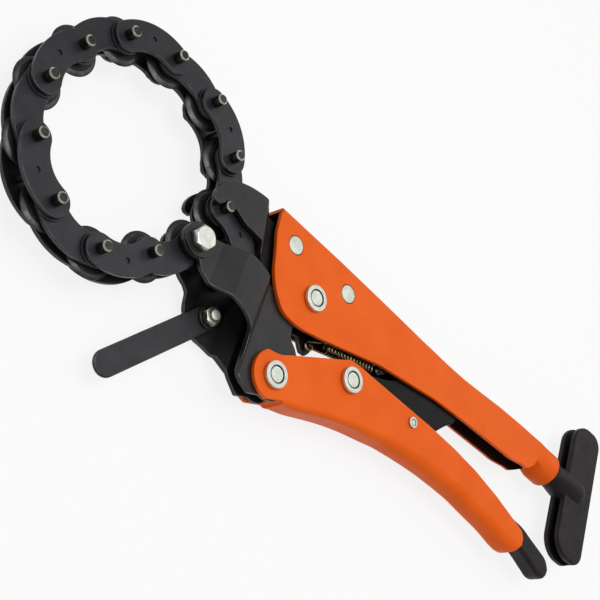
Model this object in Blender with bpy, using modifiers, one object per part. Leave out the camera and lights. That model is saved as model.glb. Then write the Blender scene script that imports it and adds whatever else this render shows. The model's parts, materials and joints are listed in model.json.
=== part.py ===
"""Locking chain pipe cutter, lying on its side with its photographed side up.

X runs along the handles towards the turning knob, Y from the lever towards the upper handle,
and Z out of the photographed side. Everything is symmetric about the middle plane Z = 0
except the guide bar and the fasteners. Sizes are in metres. The plan outlines are tables of
shares of HALF_HANDLE, measured from a datum just above the main pivot.
"""

import math

import bmesh
import bpy
from mathutils import Matrix, Vector

# Driving sizes of the handles and jaws
HALF_HANDLE = 0.100
HANDLE_HALF_WIDTH = 0.0075
HANDLE_SHEET = 0.0020
BEND_RADIUS = 0.0028
LEVER_BEND_RADIUS = 0.0040
JAW_SHEET = 0.0023
HOOK_FACE = 0.0115
CHEEK_FACE = 0.0085
CREST_FACE = 0.0120
LINKAGE_HALF_WIDTH = 0.0043
LINKAGE_SHEET = 0.0016

# Driving sizes of the chain
CHAIN_PITCH = 0.0264
PLATE_HALF_WIDTH = 0.0070
PLATE_RISE = 0.00405
PLATE_SHEET = 0.0022
PIN_RADIUS = 0.0025
PIN_HALF_LENGTH = 0.01315
PIN_CHAMFER = 0.0006
BOSS_RADIUS = 0.0078
BOSS_HEIGHT = 0.0006
STAY_RADIUS = 0.0019
WHEEL_RADIUS = 0.01135
WHEEL_HUB_RADIUS = 0.0046
WHEEL_HUB_HALF = 0.0021
WHEEL_WEB_HALF = 0.00125
WHEEL_EDGE_HALF = 0.00025
WHEEL_BEVEL = 0.0020
TAIL_RIVET_PROUD = 0.0002

# Driving sizes of rivets, fasteners and the screw
RIVET_RADIUS = 0.0065
RIVET_SHANK_RADIUS = 0.0036
RIVET_DISC_RADIUS = 0.0036
RIVET_GROOVE = 0.0007
RIVET_HEIGHT = 0.0022
SMALL_RIVET_RADIUS = 0.0029
FLUSH_RIVET_RADIUS = 0.0046
FLUSH_RIVET_SHANK_RADIUS = 0.0028
ANCHOR_HEX_ACROSS = 0.0100
ANCHOR_HEX_HEIGHT = 0.0040
ANCHOR_WASHER_RADIUS = 0.0080
ANCHOR_WASHER_SHEET = 0.0014
GUIDE_HEX_ACROSS = 0.0080
GUIDE_HEX_HEIGHT = 0.0032
GUIDE_BOLT_RADIUS = 0.0025
GUIDE_WASHER_RADIUS = 0.0055
GUIDE_WASHER_SHEET = 0.0010
GUIDE_SPACER_RADIUS = 0.0042
GUIDE_BOLT_PROUD = 0.0012
GUIDE_BAR_LENGTH = 0.0670
GUIDE_BAR_HALF_WIDTH = 0.0060
GUIDE_BAR_SHEET = 0.0018
GUIDE_BAR_DROP = 0.0028
TUBE_RADIUS = 0.0100
TUBE_LENGTH = 0.0270
TUBE_CONE_LENGTH = 0.0200
TUBE_CHAMFER = 0.0030
SCREW_RADIUS = 0.0040
SCREW_CHAMFER = 0.0008

# Driving sizes of the knob
KNOB_SPAN = 0.0840
KNOB_DEPTH = 0.0250
KNOB_HALF_WIDTH = 0.0053
KNOB_WALL = 0.0030
KNOB_CORNER = 0.0105
KNOB_HUB_RADIUS = 0.0088
KNOB_SHANK_RADIUS = 0.0070
KNOB_SHANK_LENGTH = 0.0130

# Driving sizes of the return spring
WIRE_RADIUS = 0.00055
COIL_RADIUS = 0.00265
COIL_PITCH = 0.0022
COIL_TURNS = 15
COIL_POINTS_PER_TURN = 9
LOOP_RADIUS = 0.0022
LOOP_STEPS = 10
LOOP_STEP_ANGLE = 28
SPRING_POST_RADIUS = 0.0012

# Clearances
GAP = 0.0003
NOTCH_CLEARANCE = 0.0005
NOSE_CLEARANCE = 0.0008
OVERRUN = 0.0020
MERGE = 0.00001

# Facets round a turn
PIN_SIDES = 12
RIVET_SIDES = 16
WHEEL_SIDES = 16
TUBE_SIDES = 18
SMOOTH_ANGLE = math.radians(35)

# Directions of the twelve links from the anchor round to the tail, in degrees
LINK_HEADINGS = (228, 212.5, 170, 135.5, 106.4, 74.5, 52.6, 19.8, -7.7, -42.1, -78.6, -38)
GUIDE_BAR_HEADING = -128
SPRING_HEADING = 14

# Places of the pivots and fasteners, in shares of HALF_HANDLE
MAIN_PIVOT_SHARES = (-0.071, -0.072)
LEVER_PIVOT_SHARES = (-0.149, -0.546)
TOGGLE_PIVOT_SHARES = (0.291, -0.301)
NOSE_SHARES = (1.080, 0.130)
RELEASE_PIVOT_SHARES = (0.761, -0.257)
FRONT_RIVET_SHARES = (-0.269, 0.103)
REAR_RIVET_SHARES = (0.121, 0.091)
ANCHOR_SHARES = (-0.779, -0.251)
GUIDE_BOLT_SHARES = (-0.505, -0.442)
SPRING_POST_SHARES = (0.047, -0.245)
SCREW_AXIS_SHARE = 0.142
TUBE_END_SHARE = 1.980

# Plan outlines, in shares of HALF_HANDLE
HANDLE_ROOF_SHARES = (
    (-0.40, 0.236), (0.03, 0.229), (0.35, 0.219), (0.69, 0.207), (0.95, 0.203), (1.08, 0.205),
    (1.22, 0.214), (1.40, 0.227), (1.60, 0.233), (1.76, 0.234),
)
HANDLE_RIM_SHARES = (
    (1.79, 0.14), (1.76, 0.05), (1.728, 0.023), (1.56, -0.008), (1.14, -0.024), (0.896, -0.042),
    (0.448, -0.113), (0.205, -0.180), (0.037, -0.225), (-0.08, -0.250), (-0.16, -0.252),
    (-0.215, -0.240), (-0.26, -0.205), (-0.303, -0.154), (-0.337, -0.092), (-0.397, 0.098),
    (-0.408, 0.200),
)
HANDLE_CAVITY_SHARES = (0.06, 1.68, -0.30)
HANDLE_WIDTH_SHARES = ((-0.41, 1.0), (0.55, 0.97), (1.10, 0.87), (1.55, 0.90), (1.80, 0.93))
LEVER_WEB_SHARES = (
    (-0.045, -0.641), (0.010, -0.622), (0.155, -0.573), (0.347, -0.509), (0.551, -0.463),
    (0.769, -0.433), (1.002, -0.414), (1.255, -0.416), (1.534, -0.446), (1.700, -0.478),
)
LEVER_RIM_SHARES = (
    (1.745, -0.472), (1.778, -0.447), (1.790, -0.410), (1.788, -0.370), (1.765, -0.338),
    (1.70, -0.320), (1.50, -0.268), (1.30, -0.230), (1.10, -0.209), (0.90, -0.200),
    (0.32, -0.200), (0.24, -0.212), (0.20, -0.225), (-0.105, -0.433),
)
LEVER_CAVITY_SHARES = (-0.35, 1.85, -0.80, -0.10)
LEVER_EAR_SHARE = 0.120
HOOK_SHARES = (
    (-0.805, -0.030), (-0.808, 0.000), (-0.795, 0.045), (-0.762, 0.092), (-0.730, 0.117),
    (-0.650, 0.150), (-0.600, 0.161), (-0.550, 0.167), (-0.480, 0.165), (-0.420, 0.160),
    (0.170, 0.160), (0.205, 0.130), (0.205, 0.050), (0.170, 0.000), (0.020, -0.110),
    (-0.030, -0.160), (-0.120, -0.165), (-0.200, -0.130), (-0.420, -0.120), (-0.465, -0.095),
    (-0.485, -0.040), (-0.600, -0.030), (-0.650, -0.012), (-0.678, -0.003), (-0.725, -0.006),
    (-0.745, -0.022), (-0.760, -0.040), (-0.790, -0.042),
)
HOOK_SLANT_SHARE = 0.22
HOOK_BEND_SHARES = (-0.492, -0.400)
MOVING_TOP_SHARES = (
    (-0.730, -0.184), (-0.640, -0.168), (-0.580, -0.155), (-0.510, -0.140), (-0.420, -0.152),
    (-0.370, -0.170), (-0.300, -0.150), (-0.190, -0.060),
)
MOVING_NEAR_BACK_SHARES = (
    (-0.020, -0.130), (-0.090, -0.200), (-0.122, -0.270), (-0.115, -0.320), (-0.083, -0.345),
    (-0.045, -0.390), (-0.040, -0.470),
)
MOVING_FAR_BACK_SHARES = (
    (0.035, -0.110), (0.085, -0.180), (0.090, -0.245), (0.070, -0.280), (0.035, -0.282),
    (0.010, -0.255), (-0.010, -0.225), (-0.045, -0.230), (-0.065, -0.270), (-0.050, -0.330),
    (-0.030, -0.390), (-0.040, -0.470),
)
MOVING_NEAR_EDGE_SHARES = (
    (-0.235, -0.685), (-0.310, -0.655), (-0.380, -0.600), (-0.372, -0.520), (-0.380, -0.460),
    (-0.430, -0.410), (-0.510, -0.385), (-0.640, -0.390), (-0.725, -0.342),
)
MOVING_FAR_EDGE_SHARES = (
    (-0.235, -0.685), (-0.310, -0.630), (-0.371, -0.560), (-0.440, -0.550), (-0.514, -0.541),
    (-0.565, -0.505), (-0.615, -0.466), (-0.640, -0.392), (-0.725, -0.342),
)
MOVING_NEAR_BEND_SHARES = (-0.650, -0.530, -0.382, -0.318)
MOVING_FAR_BEND_SHARES = (-0.670, -0.560, -0.382, -0.318)
TOGGLE_WEB_SHARES = (
    (0.300, -0.371), (0.400, -0.330), (0.620, -0.212), (0.955, -0.205), (1.030, -0.120),
    (1.090, -0.060),
)
TOGGLE_RIM_SHARES = (
    (1.120, 0.060), (1.040, 0.160), (0.980, 0.140), (0.700, -0.040), (0.560, -0.125),
    (0.400, -0.190), (0.310, -0.232), (0.265, -0.236), (0.228, -0.270), (0.222, -0.320),
    (0.250, -0.358),
)
TOGGLE_CAVITY_SHARES = (0.15, 1.00, -0.50, 0.25)
RELEASE_CAVITY_SHARES = (0.65, 1.90, -0.70, -0.10)
RELEASE_WEB_SHARES = (
    (0.800, -0.320), (1.000, -0.340), (1.250, -0.355), (1.500, -0.370), (1.700, -0.395),
    (1.870, -0.439), (1.960, -0.470), (2.010, -0.486), (2.050, -0.480), (2.080, -0.450),
    (2.087, -0.415), (2.065, -0.380), (2.025, -0.360),
)
RELEASE_RIM_SHARES = (
    (1.800, -0.300), (1.500, -0.277), (1.300, -0.250), (1.090, -0.218), (1.040, -0.202),
    (1.010, -0.212), (0.970, -0.256), (0.800, -0.242), (0.787, -0.228), (0.761, -0.217),
    (0.733, -0.228), (0.721, -0.257), (0.733, -0.286),
)
TAB_SHARES = ((0.470, 0.180), (0.560, 0.180), (0.545, -0.090), (0.520, -0.118), (0.495, -0.090))
SPRING_PEG_SHARES = (0.520, -0.080)

# Finishes: base colour, roughness, metallic
ORANGE_COAT = ((0.84, 0.14, 0.018), 0.38, 0.0)
BLACK_OXIDE = ((0.045, 0.045, 0.050), 0.45, 0.6)
BLUED_STEEL = ((0.055, 0.055, 0.072), 0.40, 0.7)
BRIGHT_STEEL = ((0.66, 0.68, 0.65), 0.28, 1.0)
MOULDED_BLACK = ((0.035, 0.030, 0.031), 0.50, 0.0)


def spot(shares):
    """A plan point from its two shares of HALF_HANDLE."""
    return Vector((shares[0] * HALF_HANDLE, shares[1] * HALF_HANDLE))


def spots(table):
    return [spot(shares) for shares in table]


def arc(centre, radius, start, end, count):
    """Points on a circle from one angle to another, in degrees."""
    points = []
    for step in range(count + 1):
        angle = math.radians(start + (end - start) * step / count)
        points.append(centre + Vector((math.cos(angle), math.sin(angle))) * radius)
    return points


def along(start, heading, distance):
    """The plan point at a distance from another in a heading in degrees."""
    angle = math.radians(heading)
    return start + Vector((math.cos(angle), math.sin(angle))) * distance


MAIN_PIVOT = spot(MAIN_PIVOT_SHARES)
LEVER_PIVOT = spot(LEVER_PIVOT_SHARES)
TOGGLE_PIVOT = spot(TOGGLE_PIVOT_SHARES)
NOSE = spot(NOSE_SHARES)
RELEASE_PIVOT = spot(RELEASE_PIVOT_SHARES)
ANCHOR = spot(ANCHOR_SHARES)
GUIDE_BOLT = spot(GUIDE_BOLT_SHARES)
SPRING_POST = spot(SPRING_POST_SHARES)
SPRING_PEG = spot(SPRING_PEG_SHARES)

# Layers either side of the middle plane, worked out from the sheets and the gap
INNER_PLATE_LOW = WHEEL_HUB_HALF + GAP
INNER_PLATE_HIGH = INNER_PLATE_LOW + PLATE_SHEET
BOSS_LOW = INNER_PLATE_HIGH + GAP
OUTER_PLATE_LOW = BOSS_LOW + BOSS_HEIGHT
OUTER_PLATE_HIGH = OUTER_PLATE_LOW + PLATE_SHEET
CHANNEL_HALF = HANDLE_HALF_WIDTH - HANDLE_SHEET
NECK_FACE = CHANNEL_HALF - GAP
TANG_FACE = NECK_FACE - JAW_SHEET - GAP
TANG_LOW = TANG_FACE - JAW_SHEET
HEAD_SEAT = HANDLE_HALF_WIDTH + GAP
CHEEK_LOW = CHEEK_FACE - JAW_SHEET
HOLE_RADIUS = PIN_RADIUS + GAP
ANCHOR_SEAT = CHEEK_FACE + GAP
ANCHOR_HEAD_LOW = ANCHOR_SEAT + ANCHOR_WASHER_SHEET + GAP
ANCHOR_HEAD_HIGH = ANCHOR_HEAD_LOW + ANCHOR_HEX_HEIGHT
SCREW_AXIS_Y = SCREW_AXIS_SHARE * HALF_HANDLE
TUBE_END = TUBE_END_SHARE * HALF_HANDLE
NOSE_RADIUS = LINKAGE_HALF_WIDTH
SCREW_TIP = NOSE.x + NOSE_RADIUS + NOSE_CLEARANCE

parts = None
cutters = None
datum = None
finishes = {}


def new_collection(name):
    collection = bpy.data.collections.new(name)
    bpy.context.scene.collection.children.link(collection)
    return collection


def add_object(name, data, collection):
    thing = bpy.data.objects.new(name, data)
    collection.objects.link(thing)
    thing.parent = datum
    return thing


def add_cutter(name, mesh):
    cutter = add_object(name, mesh, cutters)
    cutter.hide_render = True
    cutter.display_type = "WIRE"
    return cutter


def add_part(name, mesh, finish, pivot=None):
    """Link a finished mesh as one sub-part with its origin on its pivot, if it has one."""
    part = add_object(name, mesh, parts)
    if pivot is not None:
        offset = Vector((pivot[0], pivot[1], 0))
        mesh.transform(Matrix.Translation(-offset))
        part.location = offset
    paint(mesh, finish)
    return part


def paint(data, finish):
    if finish not in finishes:
        colour, roughness, metallic = finish
        material = bpy.data.materials.new("finish_%d" % len(finishes))
        material.use_nodes = True
        shader = material.node_tree.nodes["Principled BSDF"]
        shader.inputs["Base Color"].default_value = (*colour, 1)
        shader.inputs["Roughness"].default_value = roughness
        shader.inputs["Metallic"].default_value = metallic
        material.diffuse_color = (*colour, 1)
        finishes[finish] = material
    data.materials.clear()
    data.materials.append(finishes[finish])


def smooth(mesh):
    mesh.shade_smooth()
    mesh.set_sharp_from_angle(angle=SMOOTH_ANGLE)


def outline_mesh(points, half_thickness):
    """A filled flat outline: a thin face, or a slab where it has a thickness."""
    curve = bpy.data.curves.new("outline", "CURVE")
    curve.dimensions = "2D"
    curve.fill_mode = "BOTH"
    curve.extrude = half_thickness
    spline = curve.splines.new("POLY")
    spline.points.add(len(points) - 1)
    for target, point in zip(spline.points, points):
        target.co = (point[0], point[1], 0, 1)
    spline.use_cyclic_u = True
    holder = bpy.data.objects.new("outline", curve)
    bpy.context.scene.collection.objects.link(holder)
    mesh = evaluated_mesh(holder)
    bpy.data.objects.remove(holder)
    bpy.data.curves.remove(curve)
    return mesh


def evaluated_mesh(holder):
    """The mesh that an object with its modifiers gives, with its loose seams welded."""
    graph = bpy.context.evaluated_depsgraph_get()
    graph.update()
    mesh = bpy.data.meshes.new_from_object(holder.evaluated_get(graph))
    work = bmesh.new()
    work.from_mesh(mesh)
    bmesh.ops.remove_doubles(work, verts=work.verts, dist=MERGE)
    bmesh.ops.dissolve_limit(
        work, angle_limit=math.radians(0.1), verts=work.verts, edges=work.edges, delimit=set()
    )
    work.to_mesh(mesh)
    work.free()
    return mesh


def slab(points, low, high):
    """A flat plate with the outline given, between two heights."""
    mesh = outline_mesh(points, (high - low) / 2)
    mesh.transform(Matrix.Translation((0, 0, (high + low) / 2)))
    return mesh


def rods(centres, radius, low, high, sides=PIN_SIDES):
    """Upright cylinders at several plan points, as separate solids of one mesh."""
    work = bmesh.new()
    for centre in centres:
        place = Matrix.Translation((centre[0], centre[1], (low + high) / 2))
        bmesh.ops.create_cone(
            work, cap_ends=True, segments=sides, radius1=radius, radius2=radius,
            depth=high - low, matrix=place,
        )
    mesh = bpy.data.meshes.new("rods")
    work.to_mesh(mesh)
    work.free()
    return mesh


def box(low, high):
    """A box between two opposite corners."""
    work = bmesh.new()
    size = Vector(high) - Vector(low)
    middle = (Vector(high) + Vector(low)) / 2
    bmesh.ops.create_cube(work, size=1, matrix=Matrix.Translation(middle) @ Matrix.Diagonal((*size, 1)))
    mesh = bpy.data.meshes.new("box")
    work.to_mesh(mesh)
    work.free()
    return mesh


def turned(profile, sides, closed=False):
    """A profile of radius and height turned about Z. A closed profile leaves a bore."""
    mesh = bpy.data.meshes.new("profile")
    count = len(profile)
    edges = [(step, step + 1) for step in range(count - 1)]
    if closed:
        edges.append((count - 1, 0))
    mesh.from_pydata([(radius, 0, height) for radius, height in profile], edges, [])
    holder = bpy.data.objects.new("profile", mesh)
    bpy.context.scene.collection.objects.link(holder)
    screw = holder.modifiers.new("turn", "SCREW")
    screw.axis = "Z"
    screw.angle = math.tau
    screw.steps = sides
    screw.render_steps = sides
    screw.use_merge_vertices = True
    screw.merge_threshold = MERGE
    screw.use_smooth_shade = False
    result = evaluated_mesh(holder)
    bpy.data.objects.remove(holder)
    bpy.data.meshes.remove(mesh)
    return result


def moved(mesh, centre, height=0.0):
    mesh.transform(Matrix.Translation((centre[0], centre[1], height)))
    return mesh


def along_x(mesh, start_x, axis_y):
    """Lay a mesh that was turned about Z along +X, from a start on the screw's axis."""
    turn = Matrix.Rotation(math.radians(90), 4, "Y")
    mesh.transform(Matrix.Translation((start_x, axis_y, 0)) @ turn)
    return mesh


def combine(part, operation, name, mesh):
    """Add or cut a shape with a Boolean on the part."""
    modifier = part.modifiers.new(name, "BOOLEAN")
    modifier.operation = operation
    modifier.solver = "EXACT"
    modifier.object = add_cutter(name, mesh)


def settle(part):
    """Turn a part's modifiers into its mesh and drop the shapes that they used."""
    mesh = evaluated_mesh(part)
    for modifier in list(part.modifiers):
        cutter = getattr(modifier, "object", None)
        part.modifiers.remove(modifier)
        if cutter is not None:
            bpy.data.objects.remove(cutter)
    part.data = mesh


def interpolate(table, value):
    if value <= table[0][0]:
        return table[0][1]
    for (x0, y0), (x1, y1) in zip(table, table[1:]):
        if value <= x1:
            return y0 + (y1 - y0) * (value - x0) / (x1 - x0)
    return table[-1][1]


def offset_line(points, distance):
    """A line of plan points moved sideways, to its left where the distance is positive."""
    moved_points = []
    for index, point in enumerate(points):
        before = points[max(index - 1, 0)]
        after = points[min(index + 1, len(points) - 1)]
        first = (point - before) if index else (after - point)
        last = (after - point) if index < len(points) - 1 else first
        left = [Vector((-step.y, step.x)).normalized() for step in (first, last)]
        mitre = (left[0] + left[1]).normalized()
        moved_points.append(point + mitre * (distance / max(mitre.dot(left[0]), 0.5)))
    return moved_points


def narrowed(mesh, width_shares):
    """Draw a mesh in or out across Z by pairs of a place along X and a share of its width."""
    stations = [(share * HALF_HANDLE, width) for share, width in width_shares]
    work = bmesh.new()
    work.from_mesh(mesh)
    for place, width in stations:
        cut_across(work, place, Vector((1, 0, 0)))
    for vertex in work.verts:
        vertex.co.z *= interpolate(stations, vertex.co.x)
    work.to_mesh(mesh)
    work.free()
    return mesh


def rounded_slab(points, fold_count, half_width, bend):
    """A slab whose first points are the line along which its sheet was folded round."""
    mesh = slab(points, -half_width, half_width)
    work = bmesh.new()
    work.from_mesh(mesh)
    line = points[:fold_count]
    folds = []
    for edge in work.edges:
        ends = [nearest_index(line, vertex.co) for vertex in edge.verts]
        level = edge.verts[0].co.z * edge.verts[1].co.z > 0
        if level and None not in ends and abs(ends[0] - ends[1]) == 1:
            folds.append(edge)
    bmesh.ops.bevel(
        work, geom=folds, offset=bend, offset_type="OFFSET", segments=3, profile=0.5,
        affect="EDGES", clamp_overlap=True,
    )
    bmesh.ops.remove_doubles(work, verts=work.verts, dist=MERGE)
    work.to_mesh(mesh)
    work.free()
    return mesh


def nearest_index(line, place):
    for index, point in enumerate(line):
        if (Vector((place.x, place.y)) - point).length < 2 * MERGE:
            return index
    return None


def cut_across(work, place, across):
    """Add a line of edges over a mesh, square to a direction, at a place on X."""
    geometry = list(work.verts) + list(work.edges) + list(work.faces)
    bmesh.ops.bisect_plane(work, geom=geometry, plane_co=(place, 0, 0), plane_no=across, dist=MERGE)
    bmesh.ops.remove_doubles(work, verts=work.verts, dist=MERGE)


def joggled_sheet(points, bends, faces, slant, side):
    """A plate with the outline given, bent across at the places given to a list of heights.

    The inner face follows the outer one at the sheet's thickness, mitred at each bend.
    """
    mesh = slab(points, -JAW_SHEET, 0)
    work = bmesh.new()
    work.from_mesh(mesh)
    across = Vector((1, slant, 0)).normalized()
    outer = [Vector(pair) for pair in zip(bends, faces)]
    level = Vector((JAW_SHEET, 0))
    line = [outer[0] - level] + outer + [outer[-1] + level]
    inner = offset_line(line, -JAW_SHEET)[1:-1]
    for point in outer + inner:
        cut_across(work, point.x, across)
    for vertex in work.verts:
        place = vertex.co.x + slant * vertex.co.y
        surface = inner if vertex.co.z < -JAW_SHEET / 2 else outer
        vertex.co.z = side * interpolate(surface, place)
    if side < 0:
        bmesh.ops.reverse_faces(work, faces=work.faces)
    work.to_mesh(mesh)
    work.free()
    return mesh


def stepped_rivet(radius, disc, groove, shank, height, seat, far_seat):
    """A pressed rivet: a ring and a raised disc on the near head, a plain far head."""
    top = seat + height
    profile = [
        (0, top), (disc, top), (disc, top - groove), (disc + groove, top - groove),
        (disc + groove, top - groove / 2), (radius - groove, top - groove / 2),
        (radius, top - 2 * groove), (radius, seat), (shank, seat), (shank, -far_seat),
        (radius, -far_seat), (radius - groove, groove - far_seat - height),
        (0, groove - far_seat - height),
    ]
    return turned(profile, RIVET_SIDES)


def make_upper_handle():
    roof = spots(HANDLE_ROOF_SHARES)
    body = rounded_slab(roof + spots(HANDLE_RIM_SHARES), len(roof), HANDLE_HALF_WIDTH, BEND_RADIUS)
    part = add_part("upper_handle", narrowed(body, HANDLE_WIDTH_SHARES), ORANGE_COAT)
    ceiling = offset_line(roof, -HANDLE_SHEET)
    front = ceiling[0] - Vector((HALF_HANDLE, 0)) * HANDLE_CAVITY_SHARES[0]
    rear = HANDLE_CAVITY_SHARES[1] * HALF_HANDLE
    floor = HANDLE_CAVITY_SHARES[2] * HALF_HANDLE
    cavity = [front] + ceiling[:-1]
    cavity += [Vector((rear, ceiling[-1].y)), Vector((rear, floor)), Vector((front.x, floor))]
    hollow = narrowed(slab(cavity, -CHANNEL_HALF, CHANNEL_HALF), HANDLE_WIDTH_SHARES)
    combine(part, "DIFFERENCE", "handle_hollow", hollow)
    root = HANDLE_HALF_WIDTH - HANDLE_SHEET
    tube = [
        (0, TUBE_LENGTH + TUBE_CONE_LENGTH), (TUBE_RADIUS - TUBE_CHAMFER, TUBE_LENGTH + TUBE_CONE_LENGTH),
        (TUBE_RADIUS, TUBE_LENGTH + TUBE_CONE_LENGTH - TUBE_CHAMFER), (TUBE_RADIUS, TUBE_CONE_LENGTH),
        (root, 0), (0, 0),
    ]
    start = TUBE_END - TUBE_LENGTH - TUBE_CONE_LENGTH
    combine(part, "UNION", "handle_tube", along_x(turned(tube, TUBE_SIDES), start, SCREW_AXIS_Y))
    bore = rods([(0, 0)], SCREW_RADIUS + GAP, start - OVERRUN, TUBE_END + OVERRUN, RIVET_SIDES)
    combine(part, "DIFFERENCE", "screw_bore", along_x(bore, 0, SCREW_AXIS_Y))
    reach = HANDLE_HALF_WIDTH + OVERRUN
    pivots = rods([MAIN_PIVOT], RIVET_SHANK_RADIUS + GAP, -reach, reach)
    combine(part, "DIFFERENCE", "handle_pivot_hole", pivots)
    flush = [spot(FRONT_RIVET_SHARES), spot(REAR_RIVET_SHARES)]
    holes = rods(flush, FLUSH_RIVET_RADIUS + GAP, -reach, reach, RIVET_SIDES)
    combine(part, "DIFFERENCE", "handle_flush_holes", holes)


def cavity_over(web, sheet, shares):
    """The hollow of a channel whose web lies below it, cut right through past the web's ends.

    The shares give the hollow's front, rear, low and high limits.
    """
    front, rear, low, high = [share * HALF_HANDLE for share in shares]
    inner = offset_line(web, sheet)
    outline = [Vector((front, low)), Vector((inner[0].x, low))] + inner
    if inner[-1].x < rear:
        outline += [Vector((inner[-1].x, low)), Vector((rear, low)), Vector((rear, high))]
    else:
        outline.append(Vector((inner[-1].x, high)))
    outline.append(Vector((front, high)))
    return outline


def make_lower_lever():
    web = spots(LEVER_WEB_SHARES)
    ear = LEVER_EAR_SHARE * HALF_HANDLE
    rim = spots(LEVER_RIM_SHARES) + arc(LEVER_PIVOT, ear, 115, 285, 9)
    mesh = rounded_slab(web + rim, len(web), HANDLE_HALF_WIDTH, LEVER_BEND_RADIUS)
    part = add_part("lower_lever", mesh, ORANGE_COAT, LEVER_PIVOT)
    hollow = slab(cavity_over(web, HANDLE_SHEET, LEVER_CAVITY_SHARES), -CHANNEL_HALF, CHANNEL_HALF)
    combine(part, "DIFFERENCE", "lever_hollow", hollow)
    reach = HANDLE_HALF_WIDTH + OVERRUN
    holes = rods([LEVER_PIVOT, TOGGLE_PIVOT], RIVET_SHANK_RADIUS + GAP, -reach, reach)
    combine(part, "DIFFERENCE", "lever_pivot_holes", holes)
    small = rods([RELEASE_PIVOT], SMALL_RIVET_RADIUS / 2 + GAP, -reach, reach)
    combine(part, "DIFFERENCE", "release_rivet_hole", small)


def make_hook_jaw(side, name):
    bends = [share * HALF_HANDLE for share in HOOK_BEND_SHARES]
    faces = (HOOK_FACE, TANG_FACE)
    mesh = joggled_sheet(spots(HOOK_SHARES), bends, faces, HOOK_SLANT_SHARE, side)
    part = add_part(name, mesh, BLACK_OXIDE)
    low, high = -HOOK_FACE - OVERRUN, HOOK_FACE + OVERRUN
    catch = joints[11]
    notch = PIN_RADIUS + NOTCH_CLEARANCE
    mouth = catch.y - notch - OVERRUN
    slot = arc(catch, notch, 180, 0, 8)
    slot += [Vector((catch.x + notch, mouth)), Vector((catch.x - notch, mouth))]
    combine(part, "DIFFERENCE", name + "_notch", slab(slot, low, high))
    combine(part, "DIFFERENCE", name + "_pivot_hole", rods([MAIN_PIVOT], RIVET_SHANK_RADIUS + GAP, low, high))
    flush = [spot(FRONT_RIVET_SHARES), spot(REAR_RIVET_SHARES)]
    combine(part, "DIFFERENCE", name + "_rivet_holes", rods(flush, FLUSH_RIVET_SHANK_RADIUS + GAP, low, high))


def make_moving_jaw(side, name, back, edge, bend_shares):
    cheek = ANCHOR_WASHER_RADIUS
    ear = LEVER_EAR_SHARE * HALF_HANDLE - 2 * GAP
    neck = RIVET_RADIUS + JAW_SHEET
    outline = arc(ANCHOR, cheek, -60, -300, 12) + spots(MOVING_TOP_SHARES)
    outline += arc(MAIN_PIVOT, neck, 150, 0, 7) + spots(back)
    outline += arc(LEVER_PIVOT, ear, 0, -100, 6) + spots(edge)
    bends = [share * HALF_HANDLE for share in bend_shares]
    faces = (CHEEK_FACE, CREST_FACE, CREST_FACE, NECK_FACE)
    mesh = joggled_sheet(outline, bends, faces, 0.0, side)
    part = add_part(name, mesh, BLACK_OXIDE, MAIN_PIVOT)
    low, high = -CREST_FACE - OVERRUN, CREST_FACE + OVERRUN
    pivots = rods([MAIN_PIVOT, LEVER_PIVOT], RIVET_SHANK_RADIUS + GAP, low, high)
    combine(part, "DIFFERENCE", name + "_pivot_holes", pivots)
    small = [ANCHOR] if side > 0 else [ANCHOR, GUIDE_BOLT]
    combine(part, "DIFFERENCE", name + "_bolt_holes", rods(small, HOLE_RADIUS, low, high))
    if side < 0:
        post = rods([SPRING_POST], SPRING_POST_RADIUS + GAP, low, high)
        combine(part, "DIFFERENCE", name + "_post_hole", post)


def make_rivets():
    standard = (RIVET_RADIUS, RIVET_DISC_RADIUS, RIVET_GROOVE, RIVET_SHANK_RADIUS, RIVET_HEIGHT)
    for name, pivot in (
        ("main_pivot_rivet", MAIN_PIVOT), ("lever_rivet", LEVER_PIVOT), ("toggle_rivet", TOGGLE_PIVOT),
    ):
        mesh = stepped_rivet(*standard, HEAD_SEAT, HEAD_SEAT)
        add_part(name, moved(mesh, pivot), BRIGHT_STEEL, pivot)
    small = SMALL_RIVET_RADIUS / 2
    mesh = stepped_rivet(SMALL_RIVET_RADIUS, small, GAP, small, 3 * GAP, HEAD_SEAT, HEAD_SEAT)
    add_part("release_rivet", moved(mesh, RELEASE_PIVOT), BRIGHT_STEEL, RELEASE_PIVOT)
    face = HEAD_SEAT
    seat = TANG_FACE + GAP
    half = [
        (FLUSH_RIVET_RADIUS, face), (FLUSH_RIVET_RADIUS, seat), (FLUSH_RIVET_SHANK_RADIUS, seat),
    ]
    profile = [(0, face)] + half + [(radius, -height) for radius, height in reversed(half)]
    profile.append((0, -face))
    for name, shares in (("front_jaw_rivet", FRONT_RIVET_SHARES), ("rear_jaw_rivet", REAR_RIVET_SHARES)):
        add_part(name, moved(turned(profile, RIVET_SIDES), spot(shares)), BRIGHT_STEEL, spot(shares))
    post = rods([SPRING_POST], SPRING_POST_RADIUS, -NECK_FACE, 3 * WIRE_RADIUS)
    add_part("spring_post", post, BRIGHT_STEEL, SPRING_POST)


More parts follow.
